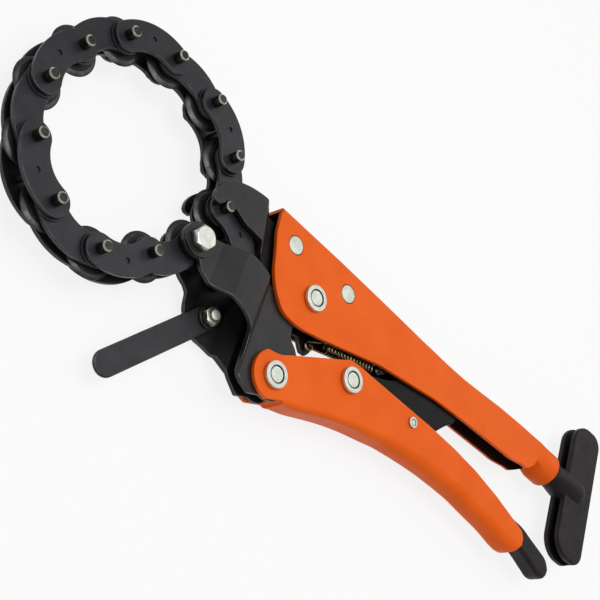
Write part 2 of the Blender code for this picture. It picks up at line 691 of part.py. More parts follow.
def make_toggle_link():
    web = spots(TOGGLE_WEB_SHARES)
    outline = web + spots(TOGGLE_RIM_SHARES)
    mesh = rounded_slab(outline, len(web), LINKAGE_HALF_WIDTH, LINKAGE_SHEET)
    part = add_part("toggle_link", mesh, BLACK_OXIDE, TOGGLE_PIVOT)
    inside = LINKAGE_HALF_WIDTH - LINKAGE_SHEET
    hollow = slab(cavity_over(web, LINKAGE_SHEET, TOGGLE_CAVITY_SHARES), -inside, inside)
    combine(part, "DIFFERENCE", "toggle_hollow", hollow)
    nose = rods([NOSE], NOSE_RADIUS, -LINKAGE_HALF_WIDTH - GAP / 2, LINKAGE_HALF_WIDTH + GAP / 2, RIVET_SIDES)
    combine(part, "UNION", "toggle_nose", nose)
    reach = LINKAGE_HALF_WIDTH + OVERRUN
    hole = rods([TOGGLE_PIVOT], RIVET_SHANK_RADIUS + GAP, -reach, reach)
    combine(part, "DIFFERENCE", "toggle_hole", hole)


def make_release_lever():
    width = CHANNEL_HALF - GAP
    web = spots(RELEASE_WEB_SHARES)
    mesh = slab(web + spots(RELEASE_RIM_SHARES), -width, width)
    part = add_part("release_lever", mesh, MOULDED_BLACK, RELEASE_PIVOT)
    inside = width - LINKAGE_SHEET
    hollow = slab(cavity_over(web, LINKAGE_SHEET, RELEASE_CAVITY_SHARES), -inside, inside)
    combine(part, "DIFFERENCE", "release_hollow", hollow)
    reach = width + OVERRUN
    hole = rods([RELEASE_PIVOT], SMALL_RIVET_RADIUS / 2 + GAP, -reach, reach)
    combine(part, "DIFFERENCE", "release_hole", hole)


def make_screw_and_knob():
    back = TUBE_END + GAP + KNOB_SHANK_LENGTH + KNOB_DEPTH
    face = back - KNOB_DEPTH
    rod_end = back - 2 * KNOB_WALL
    length = rod_end - SCREW_TIP
    profile = [
        (0, length), (SCREW_RADIUS - SCREW_CHAMFER, length), (SCREW_RADIUS, length - SCREW_CHAMFER),
        (SCREW_RADIUS, SCREW_CHAMFER), (SCREW_RADIUS - SCREW_CHAMFER, 0), (0, 0),
    ]
    screw = along_x(turned(profile, RIVET_SIDES), SCREW_TIP, SCREW_AXIS_Y)
    add_part("adjusting_screw", screw, BRIGHT_STEEL, (SCREW_TIP, SCREW_AXIS_Y))
    low, high = SCREW_AXIS_Y - KNOB_SPAN / 2, SCREW_AXIS_Y + KNOB_SPAN / 2
    outline = []
    for corner_x, corner_y, start in (
        (back - KNOB_CORNER, high - KNOB_CORNER, 0), (face + KNOB_CORNER, high - KNOB_CORNER, 90),
        (face + KNOB_CORNER, low + KNOB_CORNER, 180), (back - KNOB_CORNER, low + KNOB_CORNER, 270),
    ):
        outline += arc(Vector((corner_x, corner_y)), KNOB_CORNER, start, start + 90, 4)
    bar = slab(outline, -KNOB_HALF_WIDTH, KNOB_HALF_WIDTH)
    part = add_part("screw_knob", bar, MOULDED_BLACK, (face, SCREW_AXIS_Y))
    for name, start, end in (
        ("knob_lower_hollow", low + KNOB_CORNER, SCREW_AXIS_Y - KNOB_HUB_RADIUS),
        ("knob_upper_hollow", SCREW_AXIS_Y + KNOB_HUB_RADIUS, high - KNOB_CORNER),
    ):
        inside = KNOB_HALF_WIDTH - KNOB_WALL
        hollow = box((face - OVERRUN, start, -inside), (back - KNOB_WALL, end, inside))
        combine(part, "DIFFERENCE", name, hollow)
    depth = KNOB_SHANK_LENGTH + KNOB_DEPTH
    hub = [
        (0, depth), (KNOB_HUB_RADIUS - SCREW_CHAMFER, depth), (KNOB_HUB_RADIUS, depth - SCREW_CHAMFER),
        (KNOB_HUB_RADIUS, KNOB_SHANK_LENGTH), (KNOB_SHANK_RADIUS, 0), (0, 0),
    ]
    start = face - KNOB_SHANK_LENGTH
    combine(part, "UNION", "knob_hub", along_x(turned(hub, TUBE_SIDES), start, SCREW_AXIS_Y))
    bore = rods([(0, 0)], SCREW_RADIUS + GAP, start - OVERRUN, rod_end + GAP, RIVET_SIDES)
    combine(part, "DIFFERENCE", "knob_bore", along_x(bore, 0, SCREW_AXIS_Y))


def hexagon(centre, across):
    return arc(centre, across / math.sqrt(3), 0, 300, 5)


def washer(outer, inner, low, high, sides=RIVET_SIDES):
    return turned([(outer, high), (outer, low), (inner, low), (inner, high)], sides, closed=True)


def make_anchor():
    bolt = rods([ANCHOR], PIN_RADIUS, -ANCHOR_HEAD_HIGH + GAP, ANCHOR_HEAD_LOW + GAP)
    part = add_part("anchor_bolt", bolt, BRIGHT_STEEL, ANCHOR)
    head = slab(hexagon(ANCHOR, ANCHOR_HEX_ACROSS), ANCHOR_HEAD_LOW, ANCHOR_HEAD_HIGH)
    combine(part, "UNION", "anchor_head", head)
    washer_high = ANCHOR_SEAT + ANCHOR_WASHER_SHEET
    ring = washer(ANCHOR_WASHER_RADIUS, HOLE_RADIUS, ANCHOR_SEAT, washer_high, WHEEL_SIDES)
    add_part("anchor_washer", moved(ring, ANCHOR), BLACK_OXIDE, ANCHOR)
    nut = slab(hexagon(ANCHOR, ANCHOR_HEX_ACROSS), -ANCHOR_HEAD_HIGH, -ANCHOR_SEAT)
    part = add_part("anchor_nut", nut, BRIGHT_STEEL, ANCHOR)
    bore = rods([ANCHOR], HOLE_RADIUS, -ANCHOR_HEAD_HIGH - OVERRUN, -ANCHOR_SEAT + OVERRUN)
    combine(part, "DIFFERENCE", "anchor_nut_bore", bore)
    spacer_high = CHEEK_LOW - GAP
    for name, side in (("anchor_spacer_near", 1), ("anchor_spacer_far", -1)):
        low, high = sorted((side * BOSS_LOW, side * spacer_high))
        ring = washer(BOSS_RADIUS - JAW_SHEET / 2, HOLE_RADIUS, low, high)
        add_part(name, moved(ring, ANCHOR), BLACK_OXIDE, ANCHOR)


def make_guide():
    inner_face = -(CREST_FACE - JAW_SHEET)
    bar_low = inner_face + GUIDE_BAR_DROP
    bar_high = bar_low + GUIDE_BAR_SHEET
    start = GUIDE_BAR_HEADING
    outline = arc(GUIDE_BOLT, GUIDE_BAR_HALF_WIDTH, start + 90, start + 270, 8)
    tip = along(GUIDE_BOLT, GUIDE_BAR_HEADING, GUIDE_BAR_LENGTH - GUIDE_BAR_HALF_WIDTH)
    outline += arc(tip, GUIDE_BAR_HALF_WIDTH, start - 90, start + 90, 8)
    part = add_part("guide_bar", slab(outline, bar_low, bar_high), BLUED_STEEL, GUIDE_BOLT)
    hole = rods([GUIDE_BOLT], GUIDE_BOLT_RADIUS + GAP, bar_low - OVERRUN, bar_high + OVERRUN)
    combine(part, "DIFFERENCE", "guide_bar_hole", hole)
    inner = GUIDE_BOLT_RADIUS + GAP
    collar = washer(GUIDE_SPACER_RADIUS, inner, inner_face + GAP, bar_low - GAP)
    add_part("guide_spacer", moved(collar, GUIDE_BOLT), BLACK_OXIDE, GUIDE_BOLT)
    washer_low = bar_high + GAP
    washer_high = washer_low + GUIDE_WASHER_SHEET
    ring = washer(GUIDE_WASHER_RADIUS, inner, washer_low, washer_high)
    add_part("guide_washer", moved(ring, GUIDE_BOLT), BRIGHT_STEEL, GUIDE_BOLT)
    nut_low = washer_high + GAP
    nut_high = nut_low + GUIDE_HEX_HEIGHT
    nut = slab(hexagon(GUIDE_BOLT, GUIDE_HEX_ACROSS), nut_low, nut_high)
    part = add_part("guide_nut", nut, BRIGHT_STEEL, GUIDE_BOLT)
    bore = rods([GUIDE_BOLT], inner, nut_low - OVERRUN, nut_high + OVERRUN)
    combine(part, "DIFFERENCE", "guide_nut_bore", bore)
    head_high = -CREST_FACE - GAP
    head_low = min(head_high - GUIDE_HEX_HEIGHT, -ANCHOR_HEAD_HIGH)
    bolt = rods([GUIDE_BOLT], GUIDE_BOLT_RADIUS, head_high - GAP, nut_high + GUIDE_BOLT_PROUD)
    part = add_part("guide_bolt", bolt, BRIGHT_STEEL, GUIDE_BOLT)
    head = slab(hexagon(GUIDE_BOLT, GUIDE_HEX_ACROSS), head_low, head_high)
    combine(part, "UNION", "guide_bolt_head", head)


def spring_points():
    """The return spring's wire: front loop, coil and rear loop, worked out turn by turn."""
    angle = math.radians(SPRING_HEADING)
    axis = Vector((math.cos(angle), math.sin(angle), 0))
    side = Vector((-math.sin(angle), math.cos(angle), 0))
    up = Vector((0, 0, 1))
    peg = Vector((SPRING_PEG.x, SPRING_PEG.y, 0))
    coil_length = COIL_TURNS * COIL_PITCH
    coil_end = peg - axis * (LOOP_RADIUS + 2 * COIL_PITCH) - side * (LOOP_RADIUS - COIL_RADIUS)
    centre_end = coil_end - side * COIL_RADIUS
    centre_start = centre_end - axis * coil_length
    points = []
    steps = COIL_TURNS * COIL_POINTS_PER_TURN
    for step in range(steps + 1):
        turn = math.tau * step / COIL_POINTS_PER_TURN
        around = side * math.cos(turn) + up * math.sin(turn)
        points.append(centre_start + axis * (coil_length * step / steps) + around * COIL_RADIUS)
    rear = end_loop(peg, axis, side)
    post = Vector((SPRING_POST.x, SPRING_POST.y, 0))
    front_axis = (centre_start - post).normalized()
    front = end_loop(post, -front_axis, up.cross(front_axis))
    return front[::-1] + points + rear


def end_loop(centre, forward, side):
    """The points of an open loop that starts at the side of its centre and turns forward."""
    points = []
    for step in range(LOOP_STEPS + 1):
        turn = math.radians(90 - LOOP_STEP_ANGLE * step)
        points.append(centre + (side * math.sin(turn) + forward * math.cos(turn)) * LOOP_RADIUS)
    return points


def report_wire_gap(points):
    """Print the least gap between stretches of wire that lie over one turn apart."""
    least = math.inf
    skip = COIL_POINTS_PER_TURN // 2
    for first in range(len(points)):
        for second in range(first + skip, len(points)):
            least = min(least, (points[first] - points[second]).length)
    print("return_spring least gap to itself, mm: %.2f" % ((least - 2 * WIRE_RADIUS) * 1000))


def make_spring():
    points = spring_points()
    report_wire_gap(points)
    curve = bpy.data.curves.new("return_spring", "CURVE")
    curve.dimensions = "3D"
    curve.bevel_depth = WIRE_RADIUS
    curve.bevel_resolution = 1
    curve.use_fill_caps = True
    spline = curve.splines.new("POLY")
    spline.points.add(len(points) - 1)
    for target, point in zip(spline.points, points):
        target.co = (*point, 1)
    add_object("return_spring", curve, parts)
    paint(curve, BRIGHT_STEEL)
    tab_low = COIL_RADIUS - 2 * WIRE_RADIUS
    tab = slab(spots(TAB_SHARES), tab_low, tab_low + LINKAGE_SHEET)
    tab_part = add_part("spring_tab", tab, BLACK_OXIDE)
    peg = rods([SPRING_PEG], SPRING_POST_RADIUS, -tab_low, tab_low + LINKAGE_SHEET / 2)
    combine(tab_part, "UNION", "spring_peg", peg)


def chain_joints():
    """The pin places from the anchor round the loop to the tail."""
    places = [ANCHOR]
    for heading in LINK_HEADINGS:
        places.append(along(places[-1], heading, CHAIN_PITCH))
    return places


def plate_outline():
    """A curved chain plate from its first pin at zero along +X, bowed towards +Y."""
    radius = (CHAIN_PITCH ** 2 / 4 + PLATE_RISE ** 2) / (2 * PLATE_RISE)
    centre = Vector((CHAIN_PITCH / 2, PLATE_RISE - radius))
    half_angle = math.degrees(math.asin(CHAIN_PITCH / 2 / radius))
    width = PLATE_HALF_WIDTH
    outline = arc(centre, radius + width, 90 + half_angle, 90 - half_angle, 5)
    outline += arc(Vector((CHAIN_PITCH, 0)), width, 90 - half_angle, -90 - half_angle, 6)[1:-1]
    outline += arc(centre, radius - width, 90 - half_angle, 90 + half_angle, 3)
    outline += arc(Vector((0, 0)), width, -90 + half_angle, -270 + half_angle, 6)[1:-1]
    return outline


def chamfered_pin(half_length, chamfer):
    profile = [
        (0, half_length), (PIN_RADIUS - chamfer, half_length), (PIN_RADIUS, half_length - chamfer),
        (PIN_RADIUS, chamfer - half_length), (PIN_RADIUS - chamfer, -half_length), (0, -half_length),
    ]
    return turned(profile, PIN_SIDES)


def outer_unit(name, second_pin_half):
    """Two outer plates riveted up with their two pins, four bosses and a stay."""
    unit = add_object(name, slab(plate_outline(), OUTER_PLATE_LOW, OUTER_PLATE_HIGH), parts)
    combine(unit, "UNION", "far_plate", slab(plate_outline(), -OUTER_PLATE_HIGH, -OUTER_PLATE_LOW))
    ends = [Vector((0, 0)), Vector((CHAIN_PITCH, 0))]
    sink = BOSS_HEIGHT / 4
    near = rods(ends, BOSS_RADIUS, BOSS_LOW, OUTER_PLATE_LOW + sink)
    far = rods(ends, BOSS_RADIUS, -OUTER_PLATE_LOW - sink, -BOSS_LOW)
    combine(unit, "UNION", "near_bosses", near)
    combine(unit, "UNION", "far_bosses", far)
    reach = OUTER_PLATE_LOW + BOSS_HEIGHT
    stay = rods([Vector((CHAIN_PITCH / 2, PLATE_RISE))], STAY_RADIUS, -reach, reach, 8)
    combine(unit, "UNION", "stay", stay)
    combine(unit, "UNION", "first_pin", chamfered_pin(PIN_HALF_LENGTH, PIN_CHAMFER))
    chamfer = min(PIN_CHAMFER, TAIL_RIVET_PROUD / 2) if second_pin_half < PIN_HALF_LENGTH else PIN_CHAMFER
    combine(unit, "UNION", "second_pin", moved(chamfered_pin(second_pin_half, chamfer), ends[1]))
    settle(unit)
    mesh = unit.data
    bpy.data.objects.remove(unit)
    return mesh


def inner_plate(low, high):
    plate = add_object("inner_plate", slab(plate_outline(), low, high), parts)
    ends = [Vector((0, 0)), Vector((CHAIN_PITCH, 0))]
    combine(plate, "DIFFERENCE", "inner_holes", rods(ends, HOLE_RADIUS, low - OVERRUN, high + OVERRUN))
    settle(plate)
    mesh = plate.data
    bpy.data.objects.remove(plate)
    return mesh


def cutter_wheel():
    """A bevelled cutter wheel on its hub, with a bore for its pin."""
    shoulder = WHEEL_RADIUS - WHEEL_BEVEL
    upper = [
        (HOLE_RADIUS, WHEEL_HUB_HALF), (WHEEL_HUB_RADIUS, WHEEL_HUB_HALF),
        (shoulder, WHEEL_WEB_HALF), (WHEEL_RADIUS, WHEEL_EDGE_HALF),
    ]
    lower = [(radius, -height) for radius, height in reversed(upper)]
    return turned(upper + lower, WHEEL_SIDES, closed=True)


def place_link(name, mesh, index):
    part = add_object(name, mesh, parts)
    part.location = (joints[index].x, joints[index].y, 0)
    part.rotation_euler = (0, 0, math.radians(LINK_HEADINGS[index]))
    return part


def make_chain():
    inner_near = inner_plate(INNER_PLATE_LOW, INNER_PLATE_HIGH)
    inner_far = inner_plate(-INNER_PLATE_HIGH, -INNER_PLATE_LOW)
    outer = outer_unit("outer_link", PIN_HALF_LENGTH)
    tail = outer_unit("tail_link", OUTER_PLATE_HIGH + TAIL_RIVET_PROUD)
    wheel = cutter_wheel()
    for mesh in (inner_near, inner_far, outer, tail):
        paint(mesh, BLUED_STEEL)
    paint(wheel, BLACK_OXIDE)
    last = len(LINK_HEADINGS) - 1
    for index in range(len(LINK_HEADINGS)):
        number = "%02d" % index
        if index % 2 == 0:
            place_link("inner_plate_near_" + number, inner_near, index)
            place_link("inner_plate_far_" + number, inner_far, index)
        elif index < last:
            place_link("outer_link_" + number, outer, index)
        else:
            place_link("tail_link_" + number, tail, index)
        disc = add_object("cutter_wheel_" + number, wheel, parts)
        disc.location = (joints[index].x, joints[index].y, 0)


def stand_on_floor():
    """Move the whole tool so that the middle of its underside is the world's origin."""
    graph = bpy.context.evaluated_depsgraph_get()
    graph.update()
    lows = [math.inf] * 3
    highs = [-math.inf] * 3
    for part in parts.objects:
        shown = part.evaluated_get(graph)
        mesh = shown.to_mesh()
        for vertex in mesh.vertices:
            point = part.matrix_world @ vertex.co
            for axis in range(3):
                lows[axis] = min(lows[axis], point[axis])
                highs[axis] = max(highs[axis], point[axis])
        shown.to_mesh_clear()
    datum.location = (-(lows[0] + highs[0]) / 2, -(lows[1] + highs[1]) / 2, -lows[2])


def finish_parts():
    bpy.context.view_layer.update()
    for part in parts.objects:
        if part.type == "MESH":
            smooth(part.data)


for old in list(bpy.data.objects):
    bpy.data.objects.remove(old)

parts = new_collection("chain_pipe_cutter")
cutters = new_collection("cutters")
datum = bpy.data.objects.new("tool_datum", None)
bpy.context.scene.collection.objects.link(datum)
joints = chain_joints()

make_upper_handle()
make_lower_lever()
make_hook_jaw(1, "hook_jaw_near")
make_hook_jaw(-1, "hook_jaw_far")
make_moving_jaw(
    1, "moving_jaw_near", MOVING_NEAR_BACK_SHARES, MOVING_NEAR_EDGE_SHARES, MOVING_NEAR_BEND_SHARES,
)
make_moving_jaw(
    -1, "moving_jaw_far", MOVING_FAR_BACK_SHARES, MOVING_FAR_EDGE_SHARES, MOVING_FAR_BEND_SHARES,
)
make_rivets()
make_toggle_link()
make_release_lever()
make_screw_and_knob()
make_anchor()
make_guide()
make_spring()
make_chain()
finish_parts()
stand_on_floor()
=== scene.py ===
"""Looks of the locking chain pipe cutter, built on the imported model's frame.

Each shown piece stands for its CAD node at the same place, with finer outlines, rounded edges
and procedural materials. Lengths are in metres. The plan outlines are shares of HALF_HANDLE,
measured from a datum just above the main pivot, and Z counts from the tool's middle plane.
"""

import json
import math

import bmesh
import bpy
from mathutils import Matrix, Vector
from mathutils.geometry import tessellate_polygon


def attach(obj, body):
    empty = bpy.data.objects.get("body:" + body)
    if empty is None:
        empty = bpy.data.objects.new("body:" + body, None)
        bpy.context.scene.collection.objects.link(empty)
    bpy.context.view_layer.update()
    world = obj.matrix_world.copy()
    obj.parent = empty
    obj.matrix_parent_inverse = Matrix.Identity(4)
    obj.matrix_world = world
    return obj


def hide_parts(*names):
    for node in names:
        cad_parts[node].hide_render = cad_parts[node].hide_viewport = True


# Handles, jaws and linkage
HALF_HANDLE = 0.100
HANDLE_HALF_WIDTH = 0.0075
HANDLE_SHEET = 0.0020
FOLD_ROUND = 0.0030
JAW_SHEET = 0.0023
HOOK_FACE = 0.0115
CHEEK_FACE = 0.0085
CREST_FACE = 0.0120
LINKAGE_HALF_WIDTH = 0.0043
LINKAGE_SHEET = 0.0016
JOGGLE_RADIUS = 0.0012
RELEASE_ROUND = 0.0024
SOCKET_START = 0.1640
SOCKET_BLEND = (0.1700, 0.1880)
RUN_OUT = 0.0060
LONGEST_PULL = 0.0080
LEVER_RELIEF_RADIUS = 0.0016
LEVER_EAR_ARC = (128, 272)
JAW_CHEEK_ARC = (-60, -300)
JAW_NECK_ARC = (150, 0)
JAW_EAR_ARC = (0, -100)
CORNER_ROUND = 0.0015

# Chain
CHAIN_PITCH = 0.0264
PLATE_HALF_WIDTH = 0.0070
PLATE_RISE = 0.00405
PLATE_SHEET = 0.0022
PIN_RADIUS = 0.0025
PIN_HALF_LENGTH = 0.01315
PIN_CHAMFER = 0.0006
BOSS_RADIUS = 0.0078
BOSS_HEIGHT = 0.0006
STAY_RADIUS = 0.0019
STAY_END_RADIUS = 0.0012
STAY_RECESS = 0.0008
WHEEL_RADIUS = 0.01135
WHEEL_HUB_RADIUS = 0.0046
WHEEL_HUB_HALF = 0.0021
WHEEL_WEB_HALF = 0.00125
WHEEL_EDGE_HALF = 0.00018
WHEEL_BEVEL = 0.0020
WHEEL_STEP = 0.0002
TAIL_PIN_PROUD = 0.0002

# Rivets, fasteners and the screw
RIVET_RADIUS = 0.0065
RIVET_DISC_RADIUS = 0.0037
RIVET_GROOVE = 0.0006
RIVET_HEIGHT = 0.0022
RIVET_SHANK_RADIUS = 0.0036
RIVET_CORE_SHARE = 0.1
GROOVE_DEPTH = 1.6
SMALL_RIVET_RADIUS = 0.0029
FLUSH_RIVET_RADIUS = 0.0046
FLUSH_RIVET_RIM = ((0.0012, 0), (0.0003, 0.00018), (0, 0.0005))
ANCHOR_HEX_ACROSS = 0.0100
ANCHOR_HEX_HEIGHT = 0.0040
ANCHOR_WASHER_RADIUS = 0.0080
ANCHOR_WASHER_SHEET = 0.0014
GUIDE_HEX_ACROSS = 0.0080
GUIDE_HEX_HEIGHT = 0.0032
HEX_CHAMFER_SHARE = 0.9
HEX_FACE_SHARE = 0.93
GUIDE_BOLT_RADIUS = 0.0025
GUIDE_WASHER_RADIUS = 0.0055
GUIDE_WASHER_SHEET = 0.0010
GUIDE_SPACER_RADIUS = 0.0042
GUIDE_BOLT_PROUD = 0.0012
GUIDE_BAR_LENGTH = 0.0670
GUIDE_BAR_HALF_WIDTH = 0.0060
GUIDE_BAR_SHEET = 0.0018
GUIDE_BAR_DROP = 0.0028
GUIDE_BAR_ROUND = 0.0006
TUBE_RADIUS = 0.0100
TUBE_CHAMFER = 0.0030
SCREW_RADIUS = 0.0040
SCREW_PITCH = 0.00125
THREAD_DEPTH = 0.0006
THREAD_CHAMFER = 0.8
THREAD_STEPS = 4
THREAD_SIDES = 24
KNOB_SPAN = 0.0840
KNOB_DEPTH = 0.0250
KNOB_HALF_WIDTH = 0.0053
KNOB_WALL = 0.0030
KNOB_FRONT_CORNER = 0.0130
KNOB_BACK_CORNER = 0.0080
KNOB_HUB_RADIUS = 0.0088
KNOB_SHANK_RADIUS = 0.0070
KNOB_SHANK_LENGTH = 0.0130
KNOB_ROUND = 0.0012

# Return spring
WIRE_RADIUS = 0.00055
COIL_RADIUS = 0.00265
COIL_PITCH = 0.0022
COIL_TURNS = 15
COIL_POINTS_PER_TURN = 24
LOOP_RADIUS = 0.0022
LOOP_STEPS = 30
LOOP_TURN = 280
SPRING_POST_RADIUS = 0.0012
SPRING_HEADING = 14
TAB_CORNER = 0.001

# Clearances, and how finely shapes are drawn
GAP = 0.0003
NOTCH_CLEARANCE = 0.0005
NOSE_CLEARANCE = 0.0008
OVERRUN = 0.0020
CUTTER_SLACK = 0.2
SOCKET_LAP = 0.99
MERGE = 0.00001
MITRE_LIMIT = 0.5
CORNER_REACH = 0.45
BEND_REACH = 0.48
EDGE_ROUND = 0.00035
SMOOTH_ANGLE = math.radians(35)
FLAT_FACE_WEIGHT = 60
SHARP_CORNER = 38.0
CORE_RADIUS = 0.0002
ROUND_SIDES = 48
SOCKET_RINGS = 30
LINE_SPACING = 0.0012
SECTION_SPACING = 0.0015
RELEASE_SPACING = 0.002
FOLD_SPACING = 0.003
ROOF_SPACING = 0.004

LINK_HEADINGS = (228, 212.5, 170, 135.5, 106.4, 74.5, 52.6, 19.8, -7.7, -42.1, -78.6, -38)
GUIDE_BAR_HEADING = -128

MAIN_PIVOT_SHARES = (-0.071, -0.072)
LEVER_PIVOT_SHARES = (-0.149, -0.546)
TOGGLE_PIVOT_SHARES = (0.291, -0.301)
NOSE_SHARES = (1.080, 0.130)
RELEASE_PIVOT_SHARES = (0.761, -0.257)
FRONT_RIVET_SHARES = (-0.269, 0.103)
REAR_RIVET_SHARES = (0.121, 0.091)
ANCHOR_SHARES = (-0.779, -0.251)
GUIDE_BOLT_SHARES = (-0.505, -0.442)
SPRING_POST_SHARES = (0.047, -0.245)
SPRING_PEG_SHARES = (0.520, -0.080)
SCREW_AXIS_SHARE = 0.142
TUBE_END_SHARE = 1.980

HANDLE_ROOF_SHARES = (
    (-0.40, 0.236), (0.03, 0.229), (0.35, 0.219), (0.69, 0.207), (0.95, 0.203), (1.08, 0.205),
    (1.22, 0.214), (1.40, 0.227), (1.60, 0.233), (1.76, 0.234),
)
HANDLE_RIM_SHARES = (
    (1.79, 0.14), (1.76, 0.05), (1.728, 0.023), (1.56, -0.008), (1.14, -0.024), (0.896, -0.042),
    (0.448, -0.113), (0.205, -0.180), (0.037, -0.225), (-0.08, -0.250), (-0.16, -0.252),
    (-0.215, -0.240), (-0.26, -0.205), (-0.303, -0.154), (-0.337, -0.092), (-0.397, 0.098),
    (-0.408, 0.200),
)
HANDLE_CAVITY_SHARES = (0.06, 1.735, -0.30)
HANDLE_WIDTH_SHARES = ((-0.41, 1.0), (0.55, 0.97), (1.10, 0.87), (1.55, 0.90), (1.80, 0.93))
LEVER_WEB_SHARES = (
    (-0.083, -0.650), (-0.045, -0.636), (0.064, -0.606), (0.155, -0.573), (0.249, -0.539),
    (0.347, -0.509), (0.450, -0.483), (0.551, -0.466), (0.656, -0.447), (0.769, -0.435),
    (0.883, -0.424), (1.002, -0.416), (1.127, -0.414), (1.255, -0.416), (1.393, -0.431),
    (1.534, -0.445), (1.683, -0.472), (1.745, -0.472), (1.778, -0.450), (1.788, -0.415),
)
LEVER_RIM_SHARES = (
    (1.788, -0.370), (1.765, -0.338), (1.70, -0.320), (1.50, -0.268), (1.30, -0.230),
    (1.10, -0.209), (0.90, -0.200), (0.32, -0.197), (0.26, -0.204), (0.22, -0.227),
    (-0.055, -0.382), (-0.155, -0.437),
)
LEVER_CAVITY_SHARES = (-0.35, 1.85, -0.80, -0.10)
LEVER_BENDS = ((0.0, 0.0030), (0.45, 0.0030), (0.56, 0.0040), (0.67, 0.0050), (0.80, 0.0056))
# Where painted shade begins inside the lever, as a share
LEVER_PAINTED_SHADE_SHARE = -0.035
LEVER_EAR_SHARE = 0.120
LEVER_RELIEF_SHARES = ((-0.145, -0.681), (-0.058, -0.641))
LEVER_TONGUE_SHARES = (-0.042, -0.083)
HOOK_SHARES = (
    (-0.805, -0.030), (-0.808, 0.000), (-0.795, 0.045), (-0.762, 0.092), (-0.730, 0.117),
    (-0.650, 0.150), (-0.600, 0.161), (-0.550, 0.167), (-0.480, 0.165), (-0.420, 0.160),
    (0.170, 0.160), (0.205, 0.130), (0.205, 0.050), (0.170, 0.000), (0.020, -0.110),
    (-0.030, -0.160), (-0.120, -0.165), (-0.200, -0.130), (-0.420, -0.120), (-0.465, -0.095),
    (-0.485, -0.040), (-0.600, -0.030), (-0.650, -0.012), (-0.678, -0.003), (-0.725, -0.006),
    (-0.745, -0.022), (-0.760, -0.040), (-0.790, -0.042),
)
HOOK_SLANT_SHARE = 0.22
HOOK_BEND_SHARES = (-0.492, -0.400)
MOVING_TOP_SHARES = (
    (-0.730, -0.184), (-0.640, -0.168), (-0.580, -0.155), (-0.510, -0.140), (-0.420, -0.152),
    (-0.370, -0.170), (-0.300, -0.150), (-0.190, -0.060),
)
MOVING_NEAR_BACK_SHARES = (
    (-0.020, -0.130), (-0.090, -0.200), (-0.118, -0.265), (-0.104, -0.315), (-0.065, -0.345),
    (-0.028, -0.390), (-0.035, -0.470),
)
MOVING_FAR_BACK_SHARES = (
    (0.035, -0.110), (0.085, -0.180), (0.090, -0.245), (0.070, -0.280), (0.035, -0.282),
    (0.010, -0.255), (-0.010, -0.225), (-0.045, -0.230), (-0.065, -0.270), (-0.050, -0.330),
    (-0.030, -0.390), (-0.040, -0.470),
)
MOVING_NEAR_EDGE_SHARES = (
    (-0.235, -0.685), (-0.310, -0.650), (-0.348, -0.594), (-0.362, -0.525), (-0.380, -0.460),
    (-0.430, -0.410), (-0.510, -0.385), (-0.640, -0.390), (-0.725, -0.342),
)
MOVING_FAR_EDGE_SHARES = (
    (-0.235, -0.685), (-0.310, -0.630), (-0.371, -0.560), (-0.440, -0.550), (-0.514, -0.541),
    (-0.565, -0.505), (-0.615, -0.466), (-0.640, -0.392), (-0.725, -0.342),
)
MOVING_NEAR_BEND_SHARES = (-0.650, -0.530, -0.382, -0.318)
MOVING_FAR_BEND_SHARES = (-0.670, -0.560, -0.382, -0.318)
TOGGLE_WEB_SHARES = (
    (0.300, -0.371), (0.400, -0.330), (0.620, -0.212), (0.955, -0.205), (1.030, -0.120),
    (1.090, -0.060),
)
TOGGLE_RIM_SHARES = (
    (1.120, 0.060), (1.040, 0.160), (0.980, 0.140), (0.700, -0.040), (0.560, -0.125),
    (0.400, -0.190), (0.310, -0.232), (0.265, -0.236), (0.228, -0.270), (0.222, -0.320),
    (0.250, -0.358),
)
TOGGLE_CAVITY_SHARES = (0.15, 1.00, -0.50, 0.25)
RELEASE_WEB_SHARES = (
    (0.800, -0.320), (1.000, -0.340), (1.250, -0.355), (1.500, -0.370), (1.700, -0.395),
    (1.870, -0.439), (1.960, -0.470), (2.010, -0.486), (2.050, -0.480), (2.080, -0.450),
    (2.087, -0.415), (2.065, -0.380), (2.025, -0.360),
)
RELEASE_RIM_SHARES = (
    (1.800, -0.300), (1.500, -0.277), (1.300, -0.250), (1.090, -0.218), (1.040, -0.202),
    (1.010, -0.212), (0.970, -0.256), (0.800, -0.242), (0.787, -0.228), (0.761, -0.217),
    (0.733, -0.228), (0.721, -0.257), (0.733, -0.286),
)
RELEASE_CAVITY_SHARES = (0.65, 1.90, -0.70, -0.10)
TAB_SHARES = ((0.470, 0.180), (0.560, 0.180), (0.545, -0.090), (0.520, -0.118), (0.495, -0.090))

# Camera, fitted to the photograph: its place from the datum and its own axes
CAMERA_PLACE = (-0.3060, -0.3102, 0.3895)
CAMERA_RIGHT = (0.6507, 0.2727, 0.7086)
CAMERA_UP = (-0.5572, 0.8055, 0.2017)
CAMERA_LENS = 73.27
SENSOR = 36.0

# Light: the world's own, the lamps as name, place, size and power, and the share of the floor
# that shines white where it is seen
WORLD_LIGHT = 0.36
LIGHTS = (("key", (-0.15, 0.05, 1.10), 0.9, 6.2), ("box", (0.75, 0.75, 0.95), 1.1, 3.2))
LIGHT_TARGET = (0.0, 0.0, 0.02)
FLOOR_REACH = 30.0
FLOOR_COLOUR = (0.86, 0.86, 0.86, 1)
FLOOR_GLOW = 0.85

# The range of a noise that a ramp of two colours spans, and the one that a spread value spans
RAMP_ENDS = (0.32, 0.68)
SPREAD_ENDS = (0.3, 0.7)

